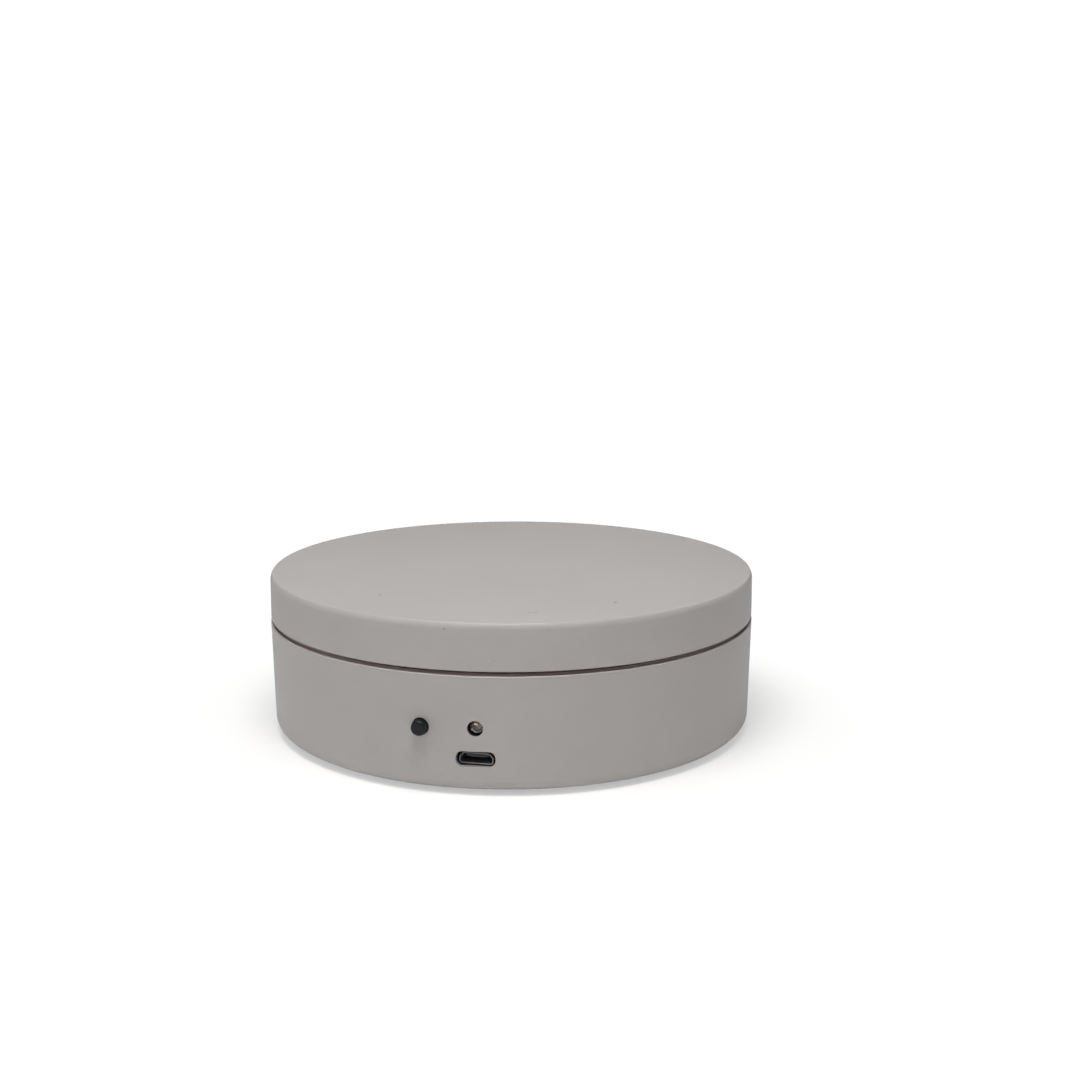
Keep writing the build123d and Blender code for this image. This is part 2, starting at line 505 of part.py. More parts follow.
# cavity that the lead frame fills
frame_cav = box(LED_X - 1.0, LED_X - 0.15, -56.9, -51.5, LED_Z - 0.3, LED_Z + 0.3) + box(LED_X + 0.15, LED_X + 1.0, -56.4, -51.5, LED_Z - 0.3, LED_Z + 0.3)
lens -= frame_cav
put("led_lens", lens)
leads = []
for x0, x1, yt, yl in ((LED_X - 0.95, LED_X - 0.2, -56.85, LED_LEG_Y[0]), (LED_X + 0.2, LED_X + 0.95, -56.35, LED_LEG_Y[1])):
    xm = (x0 + x1) / 2
    w = 0.25
    part = box(x0, x1, yt, -52.2, LED_Z - 0.25, LED_Z + 0.25)
    part += box(xm - w, xm + w, -52.4, yl + w, LED_Z - w, LED_Z + w)
    part += box(xm - w, xm + w, yl - w, yl + w, Z_PCB + 0.6, LED_Z + w)
    part += box(min(xm, LED_X) - w, max(xm, LED_X) + w, yl - w, yl + w, Z_PCB + 0.1, Z_PCB + 0.6)
    part += box(LED_X - w, LED_X + w, yl - w, yl + w, Z_PCB - PCB_T - 0.6, Z_PCB + 0.6)
    leads.append(part)
put("led_leads", *leads)
holder = box(LED_X - 2.7, LED_X + 2.7, -54.2, -50.2, Z_PCB, LED_Z + 2.6) - ycyl(1.6, -56, -52.55, LED_X, LED_Z) - ycyl(2.0, -52.65, -50.0, LED_X, LED_Z)
holder += ycyl(2.6, -56.6, -54.2, LED_X, LED_Z) - ycyl(1.6, -57, -54, LED_X, LED_Z)
holder += box(BTN_X + 2.0, LED_X - 2.0, -56.4, -54.5, 14.7, 16.3)
holder += ycyl(2.6, -57.8, -54.3, BTN_X, BTN_Z)
holder -= ycyl(2.0, -59, -54, BTN_X, BTN_Z)
holder -= ycyl(1.6, -57.5, -52.55, LED_X, LED_Z)
put("led_holder", holder)

# push switch
BY0, BY1 = -54.2, -50.7
body = box(BTN_X - 3.0, BTN_X + 3.0, BY0 + 0.3, BY1, Z_PCB, BTN_Z + 3.2) - ycyl(2.35, BY0, BY1 - 1.2, BTN_X, BTN_Z)
put("switch_body", body)
plate2 = box(BTN_X - 3.0, BTN_X + 3.0, BY0, BY0 + 0.28, Z_PCB + 0.05, BTN_Z + 3.2) - ycyl(1.95, BY0 - 1, BY0 + 1, BTN_X, BTN_Z)
for sx in (-1, 1):
    x = BTN_X + sx * 3.18
    plate2 += box(x - 0.15, x + 0.15, BY0, BY1 - 0.6, Z_PCB + 0.05, BTN_Z + 1.8)
    plate2 += box(min(x, BTN_X + sx * 2.9), max(x, BTN_X + sx * 2.9), BY0, BY0 + 0.28, Z_PCB + 0.05, BTN_Z + 1.8)
put("switch_cover", plate2)
y_tip = wall_y(BTN_X, BTN_Z) - 2.0
plunger = ycyl(BTN_D / 2, y_tip, BY0 + 0.5, BTN_X, BTN_Z)
plunger = fillet(plunger.edges().filter_by(GeomType.CIRCLE).sort_by(Axis.Y)[0], 0.62)
plunger += ycyl(2.15, BY0 + 0.36, BY0 + 0.85, BTN_X, BTN_Z)
plunger += ycyl(1.0, BY0 + 0.8, BY0 + 1.55, BTN_X, BTN_Z)
put("button_plunger", plunger)
dome = Pos(BTN_X, BY1 - 1.25 + 6.0 - 0.35, BTN_Z) * Sphere(6.0) - Pos(BTN_X, BY1 - 1.25 + 6.0 - 0.25, BTN_Z) * Sphere(6.0)
dome = dome & ycyl(2.1, BY0, BY1 - 1.21, BTN_X, BTN_Z)
put("switch_dome", dome)
terms = []
for sx in (-1, 1):
    x = BTN_X + sx * 2.25
    terms.append(box(x - 0.35, x + 0.35, BY1, BY1 + 0.25, Z_PCB + 0.0, Z_PCB + 2.4) + box(x - 0.35, x + 0.35, BY1, BY1 + 1.3, Z_PCB, Z_PCB + 0.25))
put("switch_terminals", *terms)


def chip(x, y, w, l, h, pins, pitch, pin_w):
    """Flat package, long side along X, with gull-wing pins on its two long sides."""
    body_ = box(x - l / 2, x + l / 2, y - w / 2, y + w / 2, Z_PCB + 0.12, Z_PCB + 0.12 + h)
    legs = []
    for i in range(pins):
        px = x + (i - (pins - 1) / 2) * pitch
        for sy in (-1, 1):
            y0, y1, y2 = y + sy * w / 2, y + sy * (w / 2 + 0.35), y + sy * (w / 2 + 1.05)
            leg = box(px - pin_w, px + pin_w, min(y0, y1), max(y0, y1), Z_PCB + h * 0.5, Z_PCB + h * 0.5 + 0.2)
            leg += box(px - pin_w, px + pin_w, min(y1, y1 - sy * 0.2), max(y1, y1 - sy * 0.2), Z_PCB, Z_PCB + h * 0.5 + 0.2)
            leg += box(px - pin_w, px + pin_w, min(y1 - sy * 0.2, y2), max(y1 - sy * 0.2, y2), Z_PCB, Z_PCB + 0.2)
            legs.append(leg)
    return body_, legs


drv, drv_pins = chip(-5.4, -41.3, 3.9, 9.9, 1.5, 8, 1.27, 0.2)
put("driver_chip", drv)
ctl, ctl_pins = chip(5.8, -41.6, 3.9, 4.9, 1.5, 4, 1.27, 0.2)
put("controller_chip", ctl)
put("chip_pins", *drv_pins, *ctl_pins)
smd = []
for x, y, lx, ly, h in ((1.2, -50.6, 2.0, 1.25, 0.8), (1.2, -48.2, 2.0, 1.25, 0.8), (-1.6, -49.4, 1.25, 2.0, 0.9), (-3.6, -46.6, 3.2, 1.6, 1.1), (1.6, -45.7, 1.6, 0.8, 0.5),
                        (-7.4, -36.6, 1.6, 0.8, 0.5), (8.2, -36.3, 3.0, 2.2, 1.6), (-2.0, -36.6, 1.6, 0.8, 0.5), (2.6, -36.6, 1.6, 0.8, 0.5)):
    smd.append(box(x - lx / 2, x + lx / 2, y - ly / 2, y + ly / 2, Z_PCB, Z_PCB + h))
put("small_components", *smd)


def header(side, y0, ways):
    """Side-entry wire header at the board's edge, opening outwards, and the plug in it."""
    w = 1.25 * (ways - 1) + 3.0
    h0 = box(11.9, 16.3, y0 - w / 2, y0 + w / 2, Z_PCB, Z_PCB + 3.4) - box(13.0, 17.0, y0 - w / 2 + 0.5, y0 + w / 2 - 0.5, Z_PCB + 0.5, Z_PCB + 2.9)
    p0 = box(13.1, 17.6, y0 - w / 2 + 0.6, y0 + w / 2 - 0.6, Z_PCB + 0.6, Z_PCB + 2.8)
    if side < 0:
        return mirror(h0, Plane.YZ), mirror(p0, Plane.YZ)
    return h0, p0


H_Y = -45.6
mh, mp = header(1, H_Y, 5)
bh, bp = header(-1, H_Y + 1.0, 2)
put("motor_plug", mp)
put("wire_headers", mh, bh)
put("battery_plug", bp)

# ---------------------------------------------------------------- battery
cell = xcyl(CELL_D / 2, -CELL_L / 2, CELL_L / 2, CELL_Y, CELL_Z)
cell = fillet(cell.edges().filter_by(GeomType.CIRCLE), 0.8)
cell += xcyl(2.8, CELL_L / 2 - 0.1, CELL_L / 2 + 0.8, CELL_Y, CELL_Z)
put("battery_cell", cell)
xe = CELL_L / 2
tab_p = box(xe + 0.85, xe + 1.05, CELL_Y - 8.0, CELL_Y + 3.0, CELL_Z - 2.5, CELL_Z + 2.5)
tab_n = box(-xe - 0.25, -xe - 0.05, CELL_Y - 8.0, CELL_Y + 3.0, CELL_Z - 2.5, CELL_Z + 2.5)
put("battery_tabs", tab_p, tab_n)
put("battery_pad", box(-16, 16, CELL_Y - 4.0, CELL_Y + 4.0, CELL_Z + CELL_D / 2 + 0.1, Z_DECK))

# leads, held inside the housing
def lead(points, d):
    r = corner_radii(points)
    print("  lead radii", [round(v, 1) for v in r])
    t = tube(points, r, d)
    print("  volume", round(t.volume, 2), "section x length", round(math.pi * d * d / 4 * FilletPolyline(*points, radius=r).length, 2))
    return t


zw = Z_PCB + 1.7
y_bat = H_Y + 1.0
neg = [(-xe - 1.0, CELL_Y - 7.0, CELL_Z), (-38.5, 12.5, 13.4), (-42.0, -6.0, 13.2), (-38.0, -24.0, 13.0), (-30.0, -38.0, zw + 0.3), (-23.4, y_bat - 0.62, zw), (-17.65, y_bat - 0.62, zw)]
pos = [(xe + 1.65, CELL_Y - 5.0, CELL_Z + 0.8), (xe + 2.1, CELL_Y - 8.0, 18.5), (28.6, 15.9, 20.0), (2.0, 15.4, 20.6), (-26.0, 14.4, 18.0), (-39.6, -4.6, 15.4), (-36.0, -22.4, 14.6), (-28.0, -36.2, zw + 1.2), (-22.9, y_bat + 0.63, zw), (-17.65, y_bat + 0.63, zw)]
put("battery_leads", lead(neg, 1.1), lead(pos, 1.1))

runs = []
core = [(MOTOR_X + 15.4, -6.6, ZM0 + 5.6), (51.4, -14.0, 12.2), (43.2, -24.4, 12.6), (31.4, -30.4, 13.4), (27.2, -39.4, 13.0), (22.8, H_Y, zw), (17.65, H_Y, zw)]
# the ribbon leaves the motor on edge and arrives at the board flat: its across direction turns along the way
across = [(0, 0, 1), (0.25, 0.1, 0.96), (0.5, 0.35, 0.8), (0.5, 0.6, 0.62), (0.75, 0.5, 0.43), (0.45, 0.88, 0.12), (0, 1, 0)]
for i in range(5):
    o = [Vector(*v).normalized() * (1.25 * (i - 2)) for v in across]
    runs.append(lead([(p[0] + v.X, p[1] + v.Y, p[2] + v.Z) for p, v in zip(core, o)], 0.9))
put("motor_leads", *runs)

print(len(PARTS), "nodes,", sum(PARTS.values()), "solids")
print("gear axes", at((0, 0)), at(G1), at(G2), at(G3), at(P_OUT))
print("button tip y", y_tip, "ball z", Z_BALL, "heights", Z_SHOULDER, Z_SKIRT, Z_TOP)
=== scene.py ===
"""Turntable display stand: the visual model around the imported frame.

Lengths inside the builders are in millimetres and become metres when a mesh is made.
Row frame: +Z up, origin on the spindle axis at the underside of the feet, -Y is the control side.
"""

import json
import math
import random

import bpy
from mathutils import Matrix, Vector
from mathutils.geometry import delaunay_2d_cdt


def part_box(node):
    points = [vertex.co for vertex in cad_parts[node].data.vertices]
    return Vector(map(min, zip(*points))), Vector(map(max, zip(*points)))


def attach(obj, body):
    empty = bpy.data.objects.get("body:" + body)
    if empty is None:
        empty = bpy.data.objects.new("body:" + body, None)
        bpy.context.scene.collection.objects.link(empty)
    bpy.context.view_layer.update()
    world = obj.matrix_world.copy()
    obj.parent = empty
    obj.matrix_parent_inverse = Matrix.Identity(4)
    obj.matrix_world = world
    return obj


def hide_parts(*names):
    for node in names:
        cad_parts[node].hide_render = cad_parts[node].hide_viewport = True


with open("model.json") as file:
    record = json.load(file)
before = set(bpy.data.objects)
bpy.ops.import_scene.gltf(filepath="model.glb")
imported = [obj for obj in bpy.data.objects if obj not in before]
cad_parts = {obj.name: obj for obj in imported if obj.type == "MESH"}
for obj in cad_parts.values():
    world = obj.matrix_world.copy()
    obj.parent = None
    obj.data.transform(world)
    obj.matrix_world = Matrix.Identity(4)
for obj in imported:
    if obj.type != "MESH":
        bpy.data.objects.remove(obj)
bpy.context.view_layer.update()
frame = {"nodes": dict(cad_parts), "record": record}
nodes = frame["nodes"]
random.seed(7)
MM = 0.001
TAU = 2 * math.pi

# ------------------------------------------------------------------ dimensions, from the frame (mm)
p_lo, p_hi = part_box("platter_shell")
h_lo, h_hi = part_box("base_housing")
b_lo, b_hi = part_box("button_plunger")
l_lo, l_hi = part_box("led_lens")
u_lo, u_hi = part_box("usb_shell")
Z_TOP = p_hi.z / MM
Z_HUB = p_lo.z / MM + 0.0
Z_SKIRT = 28.54
Z_RIM = h_lo.z / MM
Z_SHOULDER = 27.65
Z_DECK = 25.65
Z_PAN = 36.77
R_TOP, R_SKIRT = 60.0, 60.07
R_RIM, R_SHOULDER = 59.57, 60.17
WALL = 2.25
BTN_X, BTN_Z = (b_lo.x + b_hi.x) / 2 / MM, (b_lo.z + b_hi.z) / 2 / MM
BTN_TIP = -b_lo.y / MM
LED_X, LED_Z = (l_lo.x + l_hi.x) / 2 / MM, (l_lo.z + l_hi.z) / 2 / MM
LED_TIP = -l_lo.y / MM
USB_X, USB_Z = (u_lo.x + u_hi.x) / 2 / MM, (u_lo.z + u_hi.z) / 2 / MM
USB_MOUTH = -u_lo.y / MM
USB_BACK = -u_hi.y / MM


# ------------------------------------------------------------------ mesh builder
def unit(v):
    n = math.sqrt(sum(c * c for c in v)) or 1.0
    return tuple(c / n for c in v)


class Build:
    """Faces with a normal for each corner. Corners at one place become one vertex."""

    def __init__(self):
        self.at, self.verts, self.faces, self.normals, self.mats = {}, [], [], [], []
        self.mat = 0

    def vertex(self, p):
        key = (round(p[0], 4), round(p[1], 4), round(p[2], 4))
        if key not in self.at:
            self.at[key] = len(self.verts)
            self.verts.append((p[0] * MM, p[1] * MM, p[2] * MM))
        return self.at[key]

    def face(self, pts, nrm):
        ids, kept, pos = [], [], []
        for p, n in zip(pts, nrm):
            i = self.vertex(p)
            if i not in ids:
                ids.append(i)
                kept.append(unit(n))
                pos.append(p)
        if len(ids) < 3:
            return
        g = [0.0, 0.0, 0.0]
        for a, b in zip(pos, pos[1:] + pos[:1]):
            g[0] += (a[1] - b[1]) * (a[2] + b[2])
            g[1] += (a[2] - b[2]) * (a[0] + b[0])
            g[2] += (a[0] - b[0]) * (a[1] + b[1])
        m = [sum(n[k] for n in kept) for k in range(3)]
        if sum(x * y for x, y in zip(g, m)) < 0:
            ids.reverse()
            kept.reverse()
        self.faces.append(ids)
        self.normals.append(kept)
        self.mats.append(self.mat)

    def flat(self, pts, n):
        self.face(pts, [n] * len(pts))

    def object(self, name, *materials):
        me = bpy.data.meshes.new(name)
        me.from_pydata(self.verts, [], self.faces)
        me.polygons.foreach_set("use_smooth", [True] * len(me.polygons))
        me.polygons.foreach_set("material_index", self.mats)
        for m in materials:
            me.materials.append(m)
        me.update()
        me.normals_split_custom_set([n for face in self.normals for n in face])
        o = bpy.data.objects.new(name, me)
        bpy.context.scene.collection.objects.link(o)
        return o


def arc(cx, cy, r, a0, a1, steps, out=1):
    """Edges of an arc, with its normals pointing away from the centre (out=1) or to it (-1)."""
    pts = []
    for i in range(steps + 1):
        a = math.radians(a0 + (a1 - a0) * i / steps)
        pts.append(((cx + r * math.cos(a), cy + r * math.sin(a)), (out * math.cos(a), out * math.sin(a))))
    return list(zip(pts, pts[1:]))


def line(a, b):
    """A straight edge. The normal is on the right of the direction of travel."""
    n = unit((b[1] - a[1], a[0] - b[0]))
    return [((a, n), (b, n))]


def profile(corners, closed=True, cuts=()):
    """Corners (x, y) or (x, y, radius), counter-clockwise, to edges ((point, normal), (point, normal)).
    cuts are heights at which straight edges are divided."""
    n = len(corners)
    starts, ends, arcs = {}, {}, {}
    for i, c in enumerate(corners):
        p = (c[0], c[1])
        starts[i] = ends[i] = p
        if len(c) > 2 and c[2] > 0:
            a, b = corners[i - 1], corners[(i + 1) % n]
            u = unit((a[0] - p[0], a[1] - p[1]))
            v = unit((b[0] - p[0], b[1] - p[1]))
            half = math.acos(max(-1, min(1, u[0] * v[0] + u[1] * v[1]))) / 2
            t = c[2] / math.tan(half)
            ends[i] = (p[0] + u[0] * t, p[1] + u[1] * t)  # where the edge before ends
            starts[i] = (p[0] + v[0] * t, p[1] + v[1] * t)  # where the edge after starts
            m = unit((u[0] + v[0], u[1] + v[1]))
            d = c[2] / math.sin(half)
            cx, cy = p[0] + m[0] * d, p[1] + m[1] * d
            a0 = math.degrees(math.atan2(ends[i][1] - cy, ends[i][0] - cx))
            a1 = math.degrees(math.atan2(starts[i][1] - cy, starts[i][0] - cx))
            while a1 - a0 > 180:
                a1 -= 360
            while a1 - a0 < -180:
                a1 += 360
            out = 1 if a1 > a0 else -1
            arcs[i] = arc(cx, cy, c[2], a0, a1, max(5, int(abs(a1 - a0) / 8)), out)
    edges = []
    for i in range(n):
        if i in arcs:
            edges += arcs[i]
        j = (i + 1) % n
        if j == 0 and not closed:
            break
        a, b = starts[i], ends[j]
        if math.dist(a, b) < 1e-6:
            continue
        at = [a]
        for z in sorted(cuts, reverse=b[1] < a[1]):
            if abs(b[1] - a[1]) > 1 and min(a[1], b[1]) + 1e-6 < z < max(a[1], b[1]) - 1e-6:
                s = (z - a[1]) / (b[1] - a[1])
                at.append((a[0] + (b[0] - a[0]) * s, z))
        at.append(b)
        nrm = unit((b[1] - a[1], a[0] - b[0]))
        edges += [((p, nrm), (q, nrm)) for p, q in zip(at, at[1:])]
    return edges


def ring(n, start=0.0):
    return [start + TAU * k / n for k in range(n + 1)]


def world_z(cx=0.0, cy=0.0):
    """Axis up, through (cx, cy)."""
    return (
        lambda r, t, z: (cx + r * math.cos(t), cy + r * math.sin(t), z),
        lambda nr, t, nz: (nr * math.cos(t), nr * math.sin(t), nz),
    )


def world_y(cx, cz):
    """Axis along -Y, through (cx, cz): the axial length is -y."""
    return (
        lambda r, t, z: (cx + r * math.cos(t), -z, cz + r * math.sin(t)),
        lambda nr, t, nz: (nr * math.cos(t), -nz, nr * math.sin(t)),
    )


def lathe(b, edges, angles, place, skip=None):
    pt, nv = place
    for (pa, na), (pb, nb) in edges:
        for k, (t0, t1) in enumerate(zip(angles, angles[1:])):
            if skip and skip(pa, pb, (t0 + t1) / 2):
                continue
            b.face(
                [pt(pa[0], t0, pa[1]), pt(pa[0], t1, pa[1]), pt(pb[0], t1, pb[1]), pt(pb[0], t0, pb[1])],
                [nv(na[0], t0, na[1]), nv(na[0], t1, na[1]), nv(nb[0], t1, nb[1]), nv(nb[0], t0, nb[1])],
            )


def closed_lathe(b, corners, n, place):
    lathe(b, profile(corners), ring(n), place)


def prism(b, poly, n_of, lo, hi, place):
    """A prism: poly is a list of (u, v), n_of gives each edge's normals, place(u, v, w) is the row frame."""
    k = len(poly)
    for i in range(k):
        a, c = poly[i], poly[(i + 1) % k]
        na, nc = n_of(i)
        p = [place(a[0], a[1], lo), place(c[0], c[1], lo), place(c[0], c[1], hi), place(a[0], a[1], hi)]
        o = place(0, 0, 0)
        d = lambda q: tuple(x - y for x, y in zip(place(q[0], q[1], 0), o))
        b.face(p, [d(na), d(nc), d(nc), d(na)])
    o = place(0, 0, 0)
    w = tuple(x - y for x, y in zip(place(0, 0, 1), o))
    tris = delaunay_2d_cdt([Vector(p) for p in poly], [], [list(range(k))], 1, 1e-6)
    for tri in tris[2]:
        pts = [tris[0][i] for i in tri]
        b.flat([place(p.x, p.y, lo) for p in pts], tuple(-c for c in w))
        b.flat([place(p.x, p.y, hi) for p in pts], w)


def flat_normals(poly):
    area = sum(a[0] * c[1] - c[0] * a[1] for a, c in zip(poly, poly[1:] + poly[:1]))
    s = 1 if area > 0 else -1

    def n_of(i):
        a, c = poly[i], poly[(i + 1) % len(poly)]
        n = unit((s * (c[1] - a[1]), s * (a[0] - c[0])))
        return n, n

    return n_of


def block(b, x0, x1, y0, y1, z0, z1, bevel=0.0, turn=0.0):
    """A box with its vertical edges rounded a little, turned about Z by turn degrees."""
    c, s = math.cos(math.radians(turn)), math.sin(math.radians(turn))
    if bevel:
        edges = profile([(x0, y0, bevel), (x1, y0, bevel), (x1, y1, bevel), (x0, y1, bevel)])
        poly = [e[0][0] for e in edges]
        normals = [(e[0][1], e[1][1]) for e in edges]
        n_of = lambda i: normals[i]
    else:
        poly = [(x0, y0), (x1, y0), (x1, y1), (x0, y1)]
        n_of = flat_normals(poly)
    prism(b, poly, n_of, z0, z1, lambda u, v, w: (u * c - v * s, u * s + v * c, w))


def circle_outline(cx, cz, r, n=96):
    out = []
    for k in range(n):
        a = TAU * k / n
        out.append((cx + r * math.cos(a), cz + r * math.sin(a), math.cos(a), math.sin(a)))
    return out


def corner_outline(corners, per_deg=6.0, longest=0.6):
    """A closed outline (x, z, nx, nz) from rounded corners, counter-clockwise, with long sides divided."""
    out = []
    for (pa, na), (pb, nb) in profile(corners):
        k = max(1, int(math.dist(pa, pb) / longest))
        for i in range(k):
            s = i / k
            n = unit((na[0] * (1 - s) + nb[0] * s, na[1] * (1 - s) + nb[1] * s))
            out.append((pa[0] * (1 - s) + pb[0] * s, pa[1] * (1 - s) + pb[1] * s, n[0], n[1]))
    return out


def skin(b, outline, rows, place):
    """Rows of (off, depth, n_off, n_out) swept round an outline. place(x, z, depth) is the row frame. n_off is the
    part of the normal away from the outline's middle, and n_out the part along -Y."""
    k = len(outline)
    for first, second in rows:
        for i in range(k):
            j = (i + 1) % k
            quad, nrm = [], []
            for at, (off, depth, n_off, n_out) in ((i, first), (j, first), (j, second), (i, second)):
                x, z, ex, ez = outline[at]
                quad.append(place(x + off * ex, z + off * ez, depth))
                nrm.append((n_off * ex, -n_out, n_off * ez))
            b.face(quad, nrm)


# ------------------------------------------------------------------ materials
def material(name):
    m = bpy.data.materials.new(name)
    m.use_nodes = True
    t = m.node_tree
    bsdf = t.nodes["Principled BSDF"]
    return m, t, bsdf


class Nodes:
    """Short names for the nodes that the materials are made of."""

    def __init__(self, tree):
        self.t = tree
        self.coord = tree.nodes.new("ShaderNodeTexCoord").outputs["Object"]

    def link(self, a, b):
        self.t.links.new(a, b)

    def noise(self, scale, detail=2.0, rough=0.5, stretch=None, distort=0.0):
        n = self.t.nodes.new("ShaderNodeTexNoise")
        n.inputs["Scale"].default_value = scale
        n.inputs["Detail"].default_value = detail
        n.inputs["Roughness"].default_value = rough
        n.inputs["Distortion"].default_value = distort
        src = self.coord
        if stretch:
            m = self.t.nodes.new("ShaderNodeMapping")
            m.inputs["Scale"].default_value = stretch
            self.link(src, m.inputs["Vector"])
            src = m.outputs["Vector"]
        self.link(src, n.inputs["Vector"])
        return n.outputs["Fac"]

    def voronoi(self, scale, feature="F1", out="Distance"):
        n = self.t.nodes.new("ShaderNodeTexVoronoi")
        n.feature = feature
        n.inputs["Scale"].default_value = scale
        self.link(self.coord, n.inputs["Vector"])
        return n.outputs[out]

    def remap(self, v, a, b, c, d, smooth=False):
        n = self.t.nodes.new("ShaderNodeMapRange")
        if smooth:
            n.interpolation_type = "SMOOTHSTEP"
        for k, x in zip(("From Min", "From Max", "To Min", "To Max"), (a, b, c, d)):
            n.inputs[k].default_value = x
        self.link(v, n.inputs["Value"])
        return n.outputs["Result"]

    def math(self, op, a, b=None, c=None):
        n = self.t.nodes.new("ShaderNodeMath")
        n.operation = op
        for i, x in enumerate((a, b, c)):
            if x is None:
                continue
            if isinstance(x, (int, float)):
                n.inputs[i].default_value = x
            else:
                self.link(x, n.inputs[i])
        return n.outputs["Value"]

    def vec(self, op, a, b=None, out="Vector"):
        n = self.t.nodes.new("ShaderNodeVectorMath")
        n.operation = op
        for i, x in enumerate((a, b)):
            if x is None:
                continue
            if isinstance(x, (tuple, list)):
                n.inputs[i].default_value = x
            else:
                self.link(x, n.inputs[i])
        return n.outputs[out]

    def mix(self, fac, a, b):
        n = self.t.nodes.new("ShaderNodeMix")
        n.data_type = "RGBA"
        for k, x in ((0, fac), (6, a), (7, b)):
            if isinstance(x, (int, float)):
                n.inputs[k].default_value = x
            elif isinstance(x, (tuple, list)):
                n.inputs[k].default_value = (*x[:3], 1.0)
            else:
                self.link(x, n.inputs[k])
        return n.outputs[2]

    def bump(self, height, strength, distance, after=None):
        n = self.t.nodes.new("ShaderNodeBump")
        n.inputs["Strength"].default_value = strength
        n.inputs["Distance"].default_value = distance
        self.link(height, n.inputs["Height"])
        if after is not None:
            self.link(after, n.inputs["Normal"])
        return n.outputs["Normal"]


def near_point(n, x, y, z, radius):
    """1 within radius (m) of a point, falling to 0 just outside it."""
    d = n.vec("DISTANCE", n.coord, (x, y, z), out="Value")
    return n.remap(d, radius * 0.7, radius * 1.3, 1.0, 0.0, smooth=True)


def near_stroke(n, a, b, width):
    """1 within width (m) of a straight stroke from a to b."""
    ab = [q - p for p, q in zip(a, b)]
    length = math.sqrt(sum(c * c for c in ab))
    axis = tuple(c / length for c in ab)
    rel = n.vec("SUBTRACT", n.coord, tuple(a))
    along = n.vec("DOT_PRODUCT", rel, axis, out="Value")
    along = n.math("MINIMUM", n.math("MAXIMUM", along, 0.0), length)
    scale = n.t.nodes.new("ShaderNodeVectorMath")
    scale.operation = "SCALE"
    scale.inputs[0].default_value = axis
    n.link(along, scale.inputs["Scale"])
    d = n.vec("DISTANCE", rel, scale.outputs["Vector"], out="Value")
    return n.remap(d, width * 0.5, width * 1.4, 1.0, 0.0, smooth=True)


def shell_plastic(name, base, marks=()):
    """Off-white moulded plastic with a fine spark-eroded texture."""
    m, t, bsdf = material(name)
    n = Nodes(t)
    broad = n.noise(22.0, 3.0, 0.55)
    cloud = n.noise(140.0, 3.0, 0.6)
    grain = n.noise(4200.0, 2.0, 0.6)
    pits = n.voronoi(2900.0)
    tone = n.math("ADD", n.math("MULTIPLY", broad, 0.6), n.math("MULTIPLY", cloud, 0.4))
    dark = tuple(c * 0.972 for c in base)
    lite = tuple(min(1.0, c * 1.022) for c in base)
    colour = n.mix(n.remap(tone, 0.35, 0.65, 0.0, 1.0), dark, lite)
    grainy = n.remap(grain, 0.3, 0.7, 0.0, 0.055)
    colour = n.mix(grainy, colour, tuple(c * 0.55 for c in base))
    # sparse dust specks, each a few hundredths of a millimetre to a tenth
    cell = n.voronoi(330.0)
    which = n.noise(71.0, 0.0)
    dust = n.math("MULTIPLY", n.remap(cell, 0.018, 0.034, 1.0, 0.0), n.remap(which, 0.56, 0.60, 0.0, 0.30))
    colour = n.mix(dust, colour, tuple(c * 0.35 for c in base))
    for kind, strength, tint, *where in marks:
        mask = near_point(n, *where) if kind == "point" else near_stroke(n, *where)
        if kind == "stroke":
            mask = n.math("MULTIPLY", mask, n.remap(n.noise(900.0, 1.0), 0.35, 0.6, 0.35, 1.0))
        colour = n.mix(n.math("MULTIPLY", mask, strength), colour, tint)
    n.link(colour, bsdf.inputs["Base Color"])
    rough = n.math("ADD", n.remap(tone, 0.3, 0.7, 0.43, 0.50), n.remap(grain, 0.3, 0.7, -0.03, 0.04))
    n.link(rough, bsdf.inputs["Roughness"])
    height = n.math("ADD", n.math("MULTIPLY", grain, 0.7), n.math("MULTIPLY", pits, 0.6))
    fine = n.bump(height, 0.16, 0.000030)
    n.link(n.bump(broad, 0.05, 0.0004, after=fine), bsdf.inputs["Normal"])
    bsdf.inputs["IOR"].default_value = 1.52
    bsdf.inputs["Specular IOR Level"].default_value = 0.42
    return m


